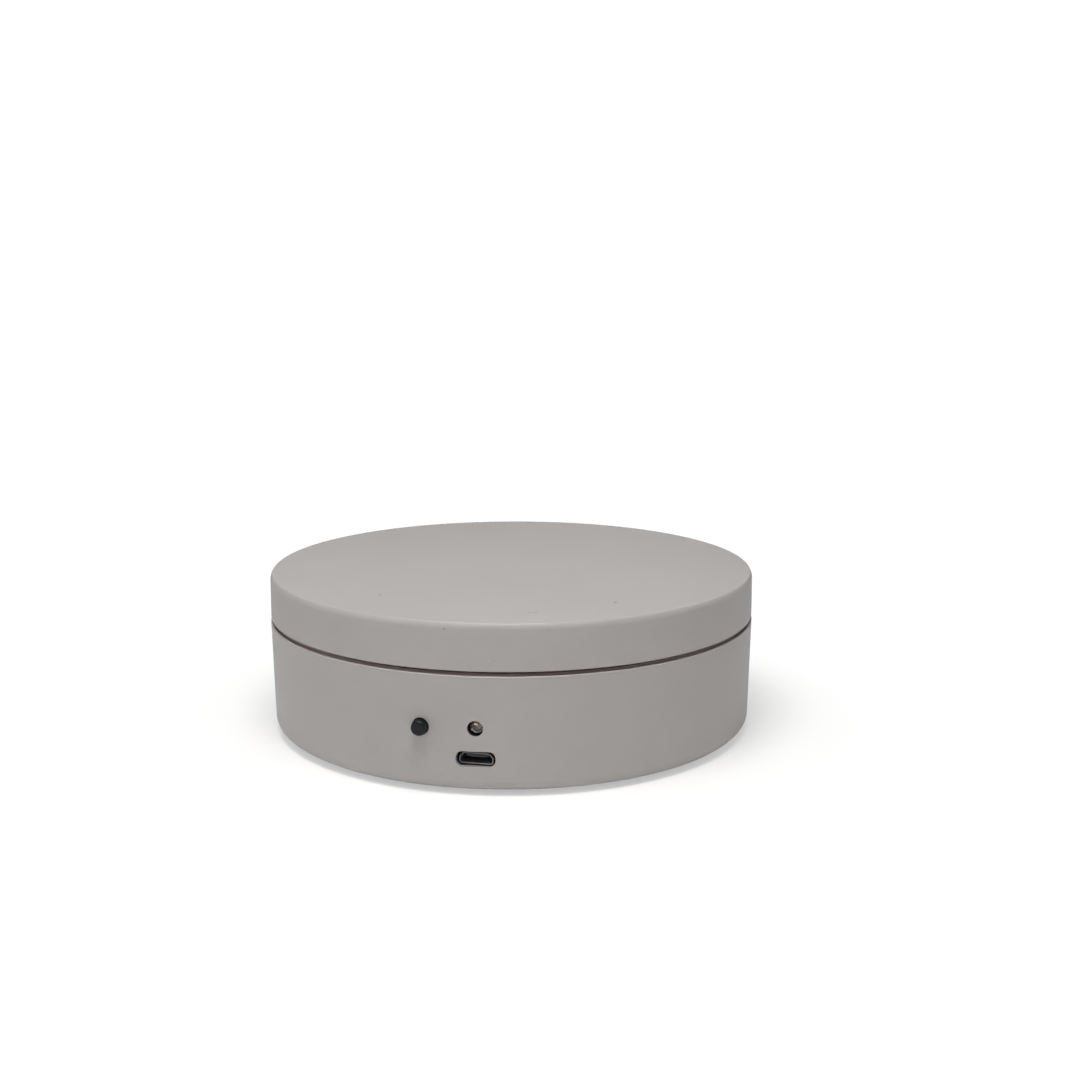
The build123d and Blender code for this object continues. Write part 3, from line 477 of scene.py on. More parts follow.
def plain(
    name, base, rough=0.5, metal=0.0, ior=1.5, grain=(1500.0, 0.1, 0.00002), tone=(160.0, 0.06), rough_var=0.06,
    stretch=None, second=None, coat=0.0, coat_rough=0.1, spec=0.5, aniso=0.0, transmission=0.0,
):
    """A material with its own tone, roughness and surface texture at the scale of the real one."""
    m, t, bsdf = material(name)
    n = Nodes(t)
    g = n.noise(grain[0], 3.0, 0.6, stretch=stretch)
    v = n.noise(tone[0], 3.0, 0.55)
    a = tuple(max(0.0, c * (1 - tone[1])) for c in base)
    b = tuple(min(1.0, c * (1 + tone[1])) for c in (second or base))
    colour = n.mix(n.remap(v, 0.3, 0.7, 0.0, 1.0), a, b)
    colour = n.mix(n.remap(g, 0.35, 0.65, 0.0, tone[1] * 1.5), colour, tuple(c * 0.7 for c in base))
    n.link(colour, bsdf.inputs["Base Color"])
    n.link(n.remap(g, 0.3, 0.7, max(0.02, rough - rough_var), min(1.0, rough + rough_var)), bsdf.inputs["Roughness"])
    n.link(n.bump(g, grain[1], grain[2]), bsdf.inputs["Normal"])
    bsdf.inputs["Metallic"].default_value = metal
    bsdf.inputs["IOR"].default_value = ior
    bsdf.inputs["Specular IOR Level"].default_value = spec
    bsdf.inputs["Coat Weight"].default_value = coat
    bsdf.inputs["Coat Roughness"].default_value = coat_rough
    bsdf.inputs["Anisotropic"].default_value = aniso
    bsdf.inputs["Transmission Weight"].default_value = transmission
    return m


SHELL = (0.368, 0.351, 0.342)
top_z = Z_TOP * MM
MARKS = (
    ("point", 0.85, (0.10, 0.09, 0.08), -0.02191, -0.03908, top_z, 0.00034),
    ("point", 0.85, (0.11, 0.10, 0.09), 0.03251, -0.03435, top_z, 0.00040),
    ("stroke", 0.75, (0.17, 0.15, 0.14), (0.01566, -0.04783, top_z), (0.01624, -0.04768, top_z), 0.00034),
    ("stroke", 0.75, (0.17, 0.15, 0.14), (0.01655, -0.04742, top_z), (0.01720, -0.04712, top_z), 0.00030),
    ("stroke", 0.55, (0.27, 0.25, 0.24), (0.01311, -0.04988, top_z), (0.01606, -0.04903, top_z), 0.00018),
    ("point", 0.80, (0.14, 0.12, 0.11), -0.00039, -0.06001, 0.03772, 0.00018),
    ("point", 0.45, (0.75, 0.73, 0.70), 0.00939, -0.05933, 0.03101, 0.00011),
)
M = {
    "shell_plastic": shell_plastic("shell_plastic", SHELL),
    "platter_plastic": shell_plastic("platter_plastic", SHELL, MARKS),
    # a near-black copy of the shell plastic for the walls inside the LED and USB openings: painted shade
    "hole_painted_shade": shell_plastic("hole_painted_shade", (0.055, 0.050, 0.046)),
    # a lighter, warmer copy of the shell plastic for the faces inside the gap under the platter: painted light, the
    # brownish glow in that crevice
    "gap_plastic_painted_light": shell_plastic("gap_plastic_painted_light", (0.44, 0.385, 0.375)),
    "button_black": plain("button_black", (0.0042, 0.0049, 0.0078), 0.38, ior=1.5, spec=0.26, grain=(2600.0, 0.10, 0.00002), tone=(300.0, 0.12), rough_var=0.07),
    "foot_rubber": plain("foot_rubber", (0.045, 0.045, 0.047), 0.72, ior=1.5, grain=(1800.0, 0.35, 0.00004), tone=(200.0, 0.12), spec=0.35),
    "gear_white": plain("gear_white", (0.74, 0.73, 0.69), 0.38, grain=(900.0, 0.08, 0.00002), tone=(120.0, 0.03)),
    "cage_natural": plain("cage_natural", (0.60, 0.57, 0.49), 0.42, grain=(900.0, 0.08, 0.00002), tone=(120.0, 0.04)),
    "zinc_steel": plain("zinc_steel", (0.55, 0.56, 0.57), 0.30, metal=1.0, grain=(2500.0, 0.12, 0.00001), tone=(500.0, 0.06)),
    "bright_steel": plain("bright_steel", (0.66, 0.66, 0.66), 0.14, metal=1.0, grain=(3000.0, 0.05, 0.00001), tone=(300.0, 0.03), rough_var=0.04),
    "spring_steel": plain("spring_steel", (0.30, 0.30, 0.31), 0.28, metal=1.0, grain=(2500.0, 0.10, 0.00001), tone=(300.0, 0.08)),
    "plated_steel": plain("plated_steel", (0.58, 0.58, 0.56), 0.27, metal=1.0, grain=(1400.0, 0.10, 0.00001), tone=(200.0, 0.05), stretch=(1.0, 8.0, 1.0)),
    "brass": plain("brass", (0.66, 0.44, 0.15), 0.24, metal=1.0, grain=(2500.0, 0.08, 0.00001), tone=(300.0, 0.06)),
    "copper_wire": plain("copper_wire", (0.58, 0.20, 0.07), 0.22, metal=1.0, grain=(5000.0, 0.5, 0.00006), tone=(400.0, 0.10), stretch=(0.05, 0.05, 1.0), coat=0.6),
    "ferrite": plain("ferrite", (0.035, 0.035, 0.038), 0.46, grain=(2500.0, 0.35, 0.00003), tone=(500.0, 0.20), spec=0.6),
    "blue_plastic": plain("blue_plastic", (0.015, 0.075, 0.35), 0.30, grain=(1200.0, 0.06, 0.00002), tone=(150.0, 0.05)),
    "lead_insulation": plain("lead_insulation", (0.42, 0.022, 0.015), 0.40, grain=(900.0, 0.06, 0.00002), tone=(90.0, 0.06)),
    "connector_white": plain("connector_white", (0.68, 0.65, 0.55), 0.40, grain=(1200.0, 0.08, 0.00002), tone=(150.0, 0.04)),
    "board_green": plain("board_green", (0.010, 0.085, 0.030), 0.28, grain=(420.0, 0.18, 0.00003), tone=(260.0, 0.14), coat=0.4),
    "chip_black": plain("chip_black", (0.016, 0.016, 0.018), 0.52, grain=(3200.0, 0.30, 0.00002), tone=(500.0, 0.16), spec=0.4),
    # the inlet's tongue: black plastic made lighter than the chips' black, painted light in the inlet's shade
    "tongue_black_painted_light": plain("tongue_black_painted_light", (0.040, 0.043, 0.056), 0.55, grain=(3200.0, 0.30, 0.00002), tone=(500.0, 0.16), spec=0.3),
    # the inside of the inlet's steel shell, dark blue-grey and not metallic: painted shade in the opening
    "inlet_painted_shade": plain("inlet_painted_shade", (0.085, 0.089, 0.110), 0.55, grain=(2600.0, 0.2, 0.00002), tone=(700.0, 0.15), spec=0.35),
    # a darker, partly diffuse copy of the tinned steel for the inlet shell: painted shade over the whole shell
    "inlet_steel_painted_shade": plain("inlet_steel_painted_shade", (0.185, 0.187, 0.175), 0.50, metal=0.35, grain=(2200.0, 0.20, 0.00002), tone=(700.0, 0.12), rough_var=0.06),
    "tinned": plain("tinned", (0.64, 0.63, 0.61), 0.17, metal=1.0, grain=(2200.0, 0.10, 0.00001), tone=(700.0, 0.06), rough_var=0.06),
    "ceramic_tan": plain("ceramic_tan", (0.32, 0.21, 0.12), 0.36, grain=(2200.0, 0.10, 0.00002), tone=(900.0, 0.14), second=(0.42, 0.33, 0.24)),
    "gold_contact": plain("gold_contact", (0.30, 0.27, 0.22), 0.42, metal=1.0, grain=(2500.0, 0.06, 0.00001), tone=(700.0, 0.05)),
    "cell_wrap": plain("cell_wrap", (0.020, 0.110, 0.300), 0.22, grain=(260.0, 0.22, 0.0001), tone=(60.0, 0.08), coat=0.5),
    "foam_grey": plain("foam_grey", (0.070, 0.070, 0.072), 0.90, grain=(1500.0, 0.9, 0.0001), tone=(900.0, 0.25), spec=0.2),
}


def clear_epoxy():
    m, t, bsdf = material("clear_epoxy")
    n = Nodes(t)
    g = n.noise(900.0, 2.0, 0.5)
    n.link(n.remap(g, 0.3, 0.7, 0.015, 0.05), bsdf.inputs["Roughness"])
    n.link(n.mix(g, (0.95, 0.95, 0.94), (0.99, 0.99, 0.985)), bsdf.inputs["Base Color"])
    n.link(n.bump(g, 0.02, 0.00002), bsdf.inputs["Normal"])
    bsdf.inputs["Transmission Weight"].default_value = 1.0
    bsdf.inputs["IOR"].default_value = 1.52
    return m


M["clear_epoxy"] = clear_epoxy()

# every carried-over CAD node takes the material of its slot in the record, except the inlet's tongue, which takes a
# lighter black: painted light in the inlet's shade
slot_of = {row["node"]: row["material_slot"] for row in frame["record"]["subparts"]}
for name, o in nodes.items():
    o.data.materials.clear()
    o.data.materials.append(M["tongue_black_painted_light" if name == "usb_tongue" else slot_of[name]])


def finish_piece(o, body, slot_name, *replaced):
    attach(o, body)
    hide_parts(*replaced)
    return o


# ------------------------------------------------------------------ platter
COLS = 420
def platter_edge():
    """The rim between skirt and top: a soft arc, then a tight one, tangent to each other and to both faces."""
    soft, tight, turn = 2.3, 0.46, 36
    c, s = math.cos(math.radians(turn)), math.sin(math.radians(turn))
    cz = Z_TOP - 0.08 - tight - (soft - tight) * s
    r = R_TOP + (R_SKIRT - R_TOP) * (Z_TOP - cz) / (Z_TOP - Z_SKIRT)
    one = arc(r - soft, cz, soft, 0, turn, 12)
    two = arc(r - soft + (soft - tight) * c, cz + (soft - tight) * s, tight, turn, 90, 8)
    return one, two


b = Build()
soft_arc, tight_arc = platter_edge()
skirt_in = profile([(7.0, 34.0), (7.0, Z_PAN, 0.4), (57.6, Z_PAN, 1.0), (57.75, Z_SKIRT, 0.2), (R_SKIRT, Z_SKIRT, 0.08), (R_SKIRT, 31.0)], closed=False)
hub = profile([(0.0, 37.07), (3.05, 37.07), (3.05, 30.2), (7.0, 30.2, 0.3), (7.0, 34.0)], closed=False)
up_to = soft_arc[0][0]
whole = hub + skirt_in + [(((R_SKIRT, 31.0), (1, 0)), up_to)] + soft_arc + tight_arc + line(tight_arc[-1][1][0], (57.4, Z_TOP)) + line((57.4, Z_TOP), (0.0, Z_TOP))
for edge in whole:
    (r0, z0), (r1, z1) = edge[0][0], edge[1][0]
    # the skirt's bottom and inner wall, inside the gap, take the lighter warm copy of the plastic: painted light
    b.mat = 1 if max(z0, z1) < Z_SKIRT + 0.06 and r0 > 57 or (57.4 < r0 < 57.8 and 57.4 < r1 < 57.8) else 0
    lathe(b, [edge], ring(COLS), world_z())
b.mat = 0
for k in range(16):
    block(b, 35.3, 45.9, -0.6, 0.6, 32.4, Z_PAN + 0.5, 0.25, turn=22.5 * k)
for k in range(6):
    block(b, 6.6, 23.0, -0.6, 0.6, 34.05, Z_PAN + 0.5, 0.25, turn=60 * k + 30)
    block(b, 6.6, 13.5, -0.6, 0.6, 34.05, Z_PAN + 0.5, 0.25, turn=60 * k)
for a in (0, 120, 240):
    x, y = 16 * math.cos(math.radians(a)), 16 * math.sin(math.radians(a))
    closed_lathe(b, [(1.2, 33.35), (3.0, 33.35, 0.2), (3.0, Z_PAN + 0.5), (0, Z_PAN + 0.5), (0, Z_PAN + 0.3), (1.2, Z_PAN + 0.3)], 48, world_z(x, y))
finish_piece(b.object("platter", M["platter_plastic"], M["gap_plastic_painted_light"]), "platter", "shell_plastic", "platter_shell")


# ------------------------------------------------------------------ base housing
def r_out(z):
    return R_RIM + (R_SHOULDER - R_RIM) * (z - Z_RIM) / (Z_SHOULDER - Z_RIM)


def r_in(z):
    a, c = (R_RIM - WALL, 5.2), (R_SHOULDER - WALL, Z_DECK)
    return a[0] + (c[0] - a[0]) * (z - a[1]) / (c[1] - a[1])


OUT_LO, OUT_HI, IN_LO, IN_HI = 4.2, 26.9, 6.2, 18.4
R_THIN = 58.55
groove = arc(48.0, 29.6, 2.1, -math.degrees(math.acos(1.7234 / 2.1)), -180 + math.degrees(math.acos(1.7234 / 2.1)), 14, -1)
Z_LIP = Z_SHOULDER - 0.15  # the shoulder's edge, just below the deck behind it
turned_outside = profile(
    [(56.2, 3.6), (56.2, Z_RIM, 0.2), (R_RIM, Z_RIM, 2.5), (R_SHOULDER, Z_LIP, 0.30), (59.82, Z_LIP, 0.06), (59.76, Z_LIP - 0.55, 0.1), (58.4, Z_LIP - 0.55, 0.15),
     (58.4, Z_SHOULDER, 0.1), (56.6, Z_SHOULDER, 0.3),
     (56.6, Z_SHOULDER + 3.2, 0.25), (55.0, Z_SHOULDER + 3.2, 0.25), (55.0, Z_SHOULDER, 0.3), (50.6, Z_SHOULDER), (50.6, 28.4, 0.2),
     (49.7234, 28.4)],
    closed=False, cuts=(OUT_LO, OUT_HI),
)
deck_top = profile([(46.2766, 28.4), (45.4, 28.4), (45.4, Z_SHOULDER), (36.0, Z_SHOULDER)], closed=False)
boss = profile([(22.0, Z_SHOULDER), (5.05, Z_SHOULDER), (5.05, Z_DECK - 6.0), (8.0, Z_DECK - 6.0, 0.3), (8.0, Z_DECK, 0.4), (20.0, Z_DECK)], closed=False)
turned_inside = profile(
    [(46.0, Z_DECK), (R_SHOULDER - WALL, Z_DECK, 0.6), (R_RIM - WALL, 5.2), (54.6, 5.2), (54.6, 3.6), (56.2, 3.6)],
    closed=False, cuts=(IN_LO, IN_HI),
)
# the wall inside is turned a column short of the thinner part, whose own faces close it
angles = ring(COLS, -math.pi / 2)
step = TAU / COLS
HALF = 16  # columns each side of -Y that the openings' wall takes


def in_window(lo, hi):
    def test(pa, pb, t):
        d = (t + math.pi / 2 + math.pi) % TAU - math.pi
        mid = (pa[1] + pb[1]) / 2
        return abs(d) < HALF * step and lo < mid < hi and abs(pa[1] - pb[1]) > 10 and pa[0] > 55

    return test


b = Build()
for edge in turned_outside:
    (r0, z0), (r1, z1) = edge[0][0], edge[1][0]
    # the shoulder and lip inside the gap take the lighter warm copy of the plastic: painted light
    b.mat = 1 if max(r0, r1) < 59.84 and min(z0, z1) > Z_LIP - 0.6 and min(r0, r1) > 54.9 else 0
    lathe(b, [edge], angles, world_z(), skip=in_window(OUT_LO, OUT_HI))
b.mat = 0
lathe(b, groove, angles, world_z())
lathe(b, deck_top, angles, world_z())
lathe(b, boss, angles, world_z())
lathe(b, turned_inside, angles, world_z(), skip=in_window(IN_LO, IN_HI))

F_BTN, F_LED, F_USB = 0.10, 0.07, 0.08
holes = [
    (circle_outline(BTN_X, BTN_Z, 1.95), F_BTN),
    (circle_outline(LED_X, LED_Z, 1.75), F_LED),
    (corner_outline([(USB_X - 4.3, USB_Z - 1.65, 1.35), (USB_X + 4.3, USB_Z - 1.65, 1.35),
                     (USB_X + 4.3, USB_Z + 1.65, 1.35), (USB_X - 4.3, USB_Z + 1.65, 1.35)]), F_USB),
]


def inside(loop, x, z):
    hit = False
    for (x0, z0), (x1, z1) in zip(loop, loop[1:] + loop[:1]):
        if (z0 > z) != (z1 > z) and x < (x1 - x0) * (z - z0) / (z1 - z0) + x0:
            hit = not hit
    return hit


def wall_patch(radius, lo, hi, slope, side, loops):
    """The piece of wall that the openings go through, between two heights, with its loops cut out."""
    pts, edges = [], []

    def add(x, z):
        pts.append(Vector((x, z)))
        return len(pts) - 1

    cols = [k * step for k in range(-HALF, HALF + 1)]
    low = [add(radius(lo) * math.sin(t), lo) for t in cols]
    high = [add(radius(hi) * math.sin(t), hi) for t in cols]
    edges += list(zip(low, low[1:])) + list(zip(high, high[1:])) + [(low[0], high[0]), (low[-1], high[-1])]
    for c, t in enumerate(cols[1:-1], 1):
        last, last_k = low[c], 0
        steps = int((hi - lo) / 0.45)
        for k in range(1, steps):
            z = lo + (hi - lo) * k / steps
            x = radius(z) * math.sin(t)
            if min(math.dist((x, z), p) for loop in loops for p in loop) < 0.30 or any(inside(l, x, z) for l in loops):
                continue
            i = add(x, z)
            if last_k == k - 1:
                edges.append((last, i))
            last, last_k = i, k
        if last_k == steps - 1:
            edges.append((last, high[c]))
    for loop in loops:
        ids = [add(x, z) for x, z in loop]
        edges += list(zip(ids, ids[1:] + ids[:1]))
    out = delaunay_2d_cdt(pts, edges, [], 0, 1e-5)
    xs = {}

    def lift(i):
        if i not in xs:
            x, z = out[0][i]
            r = radius(z)
            y = -math.sqrt(max(r * r - x * x, 0.0))
            xs[i] = (x, y, z), (side * x / r, side * y / r, -side * slope)
        return xs[i]

    for tri in out[2]:
        cx = sum(out[0][i][0] for i in tri) / 3
        cz = sum(out[0][i][1] for i in tri) / 3
        if any(inside(loop, cx, cz) for loop in loops) or abs(cx) > radius(cz) * math.sin(HALF * step) + 1e-6:
            continue
        got = [lift(i) for i in tri]
        b.face([g[0] for g in got], [g[1] for g in got])


slope = (R_SHOULDER - R_RIM) / (Z_SHOULDER - Z_RIM)
mouth_loops = [[(x + f * ex, z + f * ez) for x, z, ex, ez in outline] for outline, f in holes]
wall_patch(r_out, OUT_LO, OUT_HI, slope, 1, mouth_loops)
wall_patch(lambda z: R_THIN, IN_LO, IN_HI, 0.0, -1, [[(x, z) for x, z, _, _ in outline] for outline, _ in holes])
polar = world_z()[0]
for k in range(-HALF, HALF):
    t0, t1 = -math.pi / 2 + k * step, -math.pi / 2 + (k + 1) * step
    for z, up in ((IN_LO, 1), (IN_HI, -1)):
        b.flat([polar(r_in(z), t0, z), polar(r_in(z), t1, z), polar(R_THIN, t1, z), polar(R_THIN, t0, z)], (0, 0, up))
for side in (-1, 1):
    t = -math.pi / 2 + side * HALF * step
    b.flat([polar(r_in(IN_LO), t, IN_LO), polar(R_THIN, t, IN_LO), polar(R_THIN, t, IN_HI), polar(r_in(IN_HI), t, IN_HI)],
           (side * math.sin(t), -side * math.cos(t), 0))
for outline, f in holes:
    rows, last = [], None
    for k in range(9):
        a = math.radians(90 - 90 * k / 8)
        now = (f - f * math.cos(a), f - f * math.sin(a), -math.cos(a), math.sin(a))
        if last:
            rows.append((last, now))
        last = now
    skin(b, outline, rows, lambda x, z, d: (x, -math.sqrt(r_out(z) ** 2 - x * x) + d, z))
    # the tunnel, from the mouth to the inner wall; past plain_to its walls take a near-black plastic, painted shade in
    # the LED and USB openings
    plain_to = {F_BTN: 9.0, F_LED: 0.0, F_USB: 0.50}[f]
    k = len(outline)
    for i in range(k):
        x0, z0, ex0, ez0 = outline[i]
        x1, z1, ex1, ez1 = outline[(i + 1) % k]
        front = [-math.sqrt(r_out(z) ** 2 - x * x) + f for x, z in ((x0, z0), (x1, z1))]
        back = [-math.sqrt(R_THIN ** 2 - x * x) for x, z in ((x0, z0), (x1, z1))]
        mid = [min(y + plain_to, y1) for y, y1 in zip(front, back)]
        for near, far, mat in ((front, mid, 0), (mid, back, 2)):
            if min(q - p for p, q in zip(near, far)) < 1e-6:
                continue
            b.mat = mat
            b.face(
                [(x0, near[0], z0), (x1, near[1], z1), (x1, far[1], z1), (x0, far[0], z0)],
                [(-ex0, 0, -ez0), (-ex1, 0, -ez1), (-ex1, 0, -ez1), (-ex0, 0, -ez0)],
            )
b.mat = 0


def deck_patch(z, r0, r1, up, circles):
    """A flat ring of the deck with round holes in it."""
    pts, edges, loops = [], [], []
    for r in (r0, r1):
        ids = []
        for t in angles[:-1]:
            pts.append(Vector((r * math.cos(t), r * math.sin(t))))
            ids.append(len(pts) - 1)
        edges += list(zip(ids, ids[1:] + ids[:1]))
    for cx, cy, r in circles:
        ids, loop = [], []
        for k in range(64):
            p = (cx + r * math.cos(TAU * k / 64), cy + r * math.sin(TAU * k / 64))
            pts.append(Vector(p))
            loop.append(p)
            ids.append(len(pts) - 1)
        edges += list(zip(ids, ids[1:] + ids[:1]))
        loops.append(loop)
    out = delaunay_2d_cdt(pts, edges, [], 0, 1e-5)
    for tri in out[2]:
        cx = sum(out[0][i][0] for i in tri) / 3
        cy = sum(out[0][i][1] for i in tri) / 3
        r = math.hypot(cx, cy)
        if r < r0 * math.cos(step / 2) - 1e-4 or r > r1 or any(inside(l, cx, cy) for l in loops):
            continue
        b.flat([(out[0][i][0], out[0][i][1], z) for i in tri], (0, 0, 1 if up else -1))


motor_holes = [(36.8, 17.5, 1.45), (36.8, -17.5, 1.45)]
deck_patch(Z_SHOULDER, 22.0, 36.0, True, [(28.8, 0.0, 5.2)])
deck_patch(Z_DECK, 20.0, 46.0, False, [(28.8, 0.0, 5.2)] + motor_holes)
for cx, cy, r, top in [(28.8, 0.0, 5.2, Z_SHOULDER)] + [(*m, 30.85) for m in motor_holes]:
    edges = [(((r, Z_DECK), (-1, 0)), ((r, top), (-1, 0)))]
    if top > Z_SHOULDER:
        edges += [(((r, top), (0, -1)), ((0, top), (0, -1)))]
    lathe(b, edges, ring(64), world_z(cx, cy))
for cx, cy, r in motor_holes:
    closed_lathe(b, [(r + 0.4, Z_SHOULDER - 0.3), (3.0, Z_SHOULDER - 0.3), (3.0, 31.65, 0.3), (0, 31.65), (0, 31.2), (r + 0.4, 31.2)], 64, world_z(cx, cy))
for sx in (-1, 1):
    closed_lathe(b, [(1.15, 11.1), (3.0, 11.1, 0.2), (3.0, Z_DECK + 0.5), (0, Z_DECK + 0.5), (0, 18.6), (1.15, 18.6)], 64, world_z(sx * 13.5, -37.4))
    for sy in (-1, 1):
        closed_lathe(b, [(1.35, 3.6), (3.5, 3.6, 0.2), (3.5, Z_DECK + 0.5), (0, Z_DECK + 0.5), (0, 14.0), (1.35, 14.0)], 64, world_z(sx * 36.5, sy * 36.5))
    rib = [(17.0, 14.6), (27.5 - 9.2446, 14.6)]
    for k in range(1, 24):
        a = math.pi - math.asin(1.4 / 9.35) - (math.pi - 2 * math.asin(1.4 / 9.35)) * k / 24
        rib.append((27.5 + 9.35 * math.cos(a), 13.2 + 9.35 * math.sin(a)))
    rib += [(27.5 + 9.2446, 14.6), (38.0, 14.6), (38.0, Z_DECK + 0.5), (17.0, Z_DECK + 0.5)]
    prism(b, rib, flat_normals(rib), sx * 20 - 1, sx * 20 + 1, lambda u, v, w: (w, u, v))
for a in (115, 180, 245, 270, 295):
    block(b, 7.6, 12.6, -0.75, 0.75, Z_DECK - 5.0, Z_DECK + 0.5, 0.2, turn=a)
finish_piece(b.object("base", M["shell_plastic"], M["gap_plastic_painted_light"], M["hole_painted_shade"]), "base", "shell_plastic", "base_housing")

# ------------------------------------------------------------------ button
b = Build()
closed_lathe(
    b,
    [(0, 52.65), (1.0, 52.65, 0.15), (1.0, 53.35), (2.15, 53.35, 0.1), (2.15, 53.84, 0.1), (1.75, 53.84), (1.75, BTN_TIP, 0.62), (0, BTN_TIP)],
    120,
    world_y(BTN_X, BTN_Z),
)
finish_piece(b.object("button", M["button_black"]), "button", "button_black", "button_plunger")

# ------------------------------------------------------------------ indicator lamp
b = Build()
dome = arc(0, LED_TIP - 1.5, 1.5, 0, 90, 20)
edges = profile([(0, 51.6), (1.9, 51.6), (1.9, 52.6), (1.5, 52.6), (1.5, LED_TIP - 1.5)], closed=False) + dome
lathe(b, edges, ring(96), world_y(LED_X, LED_Z))
finish_piece(b.object("lamp_lens", M["clear_epoxy"]), "base", "clear_epoxy", "led_lens")

b = Build()
y_of = lambda u, v, w: (LED_X + u, -v, LED_Z + w)
TIP = LED_TIP - 2.1  # the lead frame's front
post = [(-0.95, 51.7), (-0.30, 51.7), (-0.30, TIP - 1.2), (0.20, TIP - 0.9), (0.20, TIP - 0.2), (0.0, TIP + 0.1), (-0.50, TIP + 0.1), (-0.50, TIP - 0.9), (-0.95, TIP - 1.1)]
anvil = [(0.32, 51.7), (0.95, 51.7), (0.95, TIP - 0.6), (0.72, TIP - 0.35), (0.32, TIP - 0.5)]
prism(b, post, flat_normals(post), 0.02, 0.26, y_of)
prism(b, anvil, flat_normals(anvil), -0.24, 0.24, y_of)
# a near-white arc along the lens's bottom and a bead at its lower left: painted highlights standing in for the lens's
# caustic and glints
b.mat = 4
lathe(b, arc(0.76, TIP + 0.25, 0.075, 0, 360, 12), [math.radians(a) for a in range(205, 336, 5)], world_y(LED_X, LED_Z))
lathe(b, arc(0.0, TIP + 0.28, 0.13, -90, 90, 8), ring(16), world_y(LED_X - 0.62, LED_Z - 0.46))
b.mat = 0
cup = profile([(0.0, TIP - 0.85), (0.62, TIP - 0.85), (1.42, TIP + 0.75, 0.03), (1.34, TIP + 0.75, 0.03), (0.50, TIP - 0.45, 0.2), (0.0, TIP - 0.45)], closed=False)
b.mat = 3
lathe(b, cup, ring(64), world_y(LED_X, LED_Z))
block_pts = [(-0.33, TIP - 0.47), (0.03, TIP - 0.47), (0.03, TIP - 0.33), (-0.33, TIP - 0.33)]
b.mat = 1
prism(b, block_pts, flat_normals(block_pts), -0.13, 0.13, y_of)
b.mat = 2
wire = []
for k in range(13):
    s = k / 12
    wire.append((LED_X - 0.15 + 0.80 * s, -(TIP - 0.33 + 0.55 * math.sin(math.pi * s) - 0.25 * s), LED_Z + 0.02))
for p, q in zip(wire, wire[1:]):
    d = unit([y - x for x, y in zip(p, q)])
    side = unit((-d[1], d[0], 0))
    up = (0, 0, 1)
    for k in range(8):
        a0, a1 = TAU * k / 8, TAU * (k + 1) / 8
        n0 = tuple(side[i] * math.cos(a0) + up[i] * math.sin(a0) for i in range(3))
        n1 = tuple(side[i] * math.cos(a1) + up[i] * math.sin(a1) for i in range(3))
        off = lambda c, n: tuple(c[i] + 0.022 * n[i] for i in range(3))
        b.face([off(p, n0), off(p, n1), off(q, n1), off(q, n0)], [n0, n1, n1, n0])
M["lamp_frame"] = plain("lamp_frame", (0.70, 0.62, 0.52), 0.34, metal=0.6, grain=(2600.0, 0.3, 0.00003), tone=(900.0, 0.22))
M["lamp_bowl"] = plain("lamp_bowl", (0.50, 0.465, 0.42), 0.24, metal=1.0, grain=(1500.0, 0.5, 0.00006), tone=(900.0, 0.20))
# near-white for the arc and bead in the lens: painted highlights
M["lamp_painted_glint"] = plain("lamp_painted_glint", (0.90, 0.87, 0.82), 0.35, metal=0.2, grain=(1500.0, 0.2, 0.00002), tone=(900.0, 0.06))
M["lamp_die"] = plain("lamp_die", (0.62, 0.50, 0.18), 0.45, grain=(3000.0, 0.1, 0.00001), tone=(900.0, 0.1))
finish_piece(b.object("lamp_leads", M["lamp_frame"], M["lamp_die"], M["gold_contact"], M["lamp_bowl"], M["lamp_painted_glint"]), "base", "tinned", "led_leads")

# ------------------------------------------------------------------ charging inlet
b = Build()
lo_z, hi_z = USB_Z - 1.3, USB_Z + 1.3
shell_line = corner_outline(
    [(USB_X - 3.85, lo_z, 0.7), (USB_X + 3.85, lo_z, 0.7), (USB_X + 3.85, USB_Z + 0.3, 0.4), (USB_X + 2.95, hi_z, 0.4),
     (USB_X - 2.95, hi_z, 0.4), (USB_X - 3.85, USB_Z + 0.3, 0.4)],
)
T = 0.25
rows = [((0.0, USB_BACK, 1, 0), (0.0, USB_MOUTH - T / 2, 1, 0))]
last = rows[-1][1]
for k in range(1, 9):
    a = math.radians(180 * k / 8)
    now = (-T / 2 + T / 2 * math.cos(a), USB_MOUTH - T / 2 + T / 2 * math.sin(a), math.cos(a), math.sin(a))
    rows.append((last, now))
    last = now
rows.append(((-T, USB_MOUTH - T / 2, -1, 0), (-T, USB_BACK, -1, 0)))
rows.append(((-T, USB_BACK, 0, -1), (0.0, USB_BACK, 0, -1)))
within = len(rows) - 2  # the shell's inside: a dark blue-grey in place of the steel, painted shade
for k, row in enumerate(rows):
    b.mat = 1 if k == within else 0
    skin(b, shell_line, [row], lambda x, z, d: (x, -d, z))
finish_piece(b.object("inlet_shell", M["inlet_steel_painted_shade"], M["inlet_painted_shade"]), "base", "tinned", "usb_shell")

# ------------------------------------------------------------------ floor and backdrop
b = Build()
lathe(b, profile([(1300.0, -20.0), (1300.0, 0.0), (0.0, 0.0), (0.0, -20.0)]), ring(96), world_z())
floor_m, t, bsdf = material("studio_floor")
n = Nodes(t)
n.link(n.mix(n.noise(3.0, 2.0, 0.5), (0.84, 0.84, 0.835), (0.86, 0.86, 0.855)), bsdf.inputs["Base Color"])
bsdf.inputs["Roughness"].default_value = 0.75
bsdf.inputs["Specular IOR Level"].default_value = 0.2
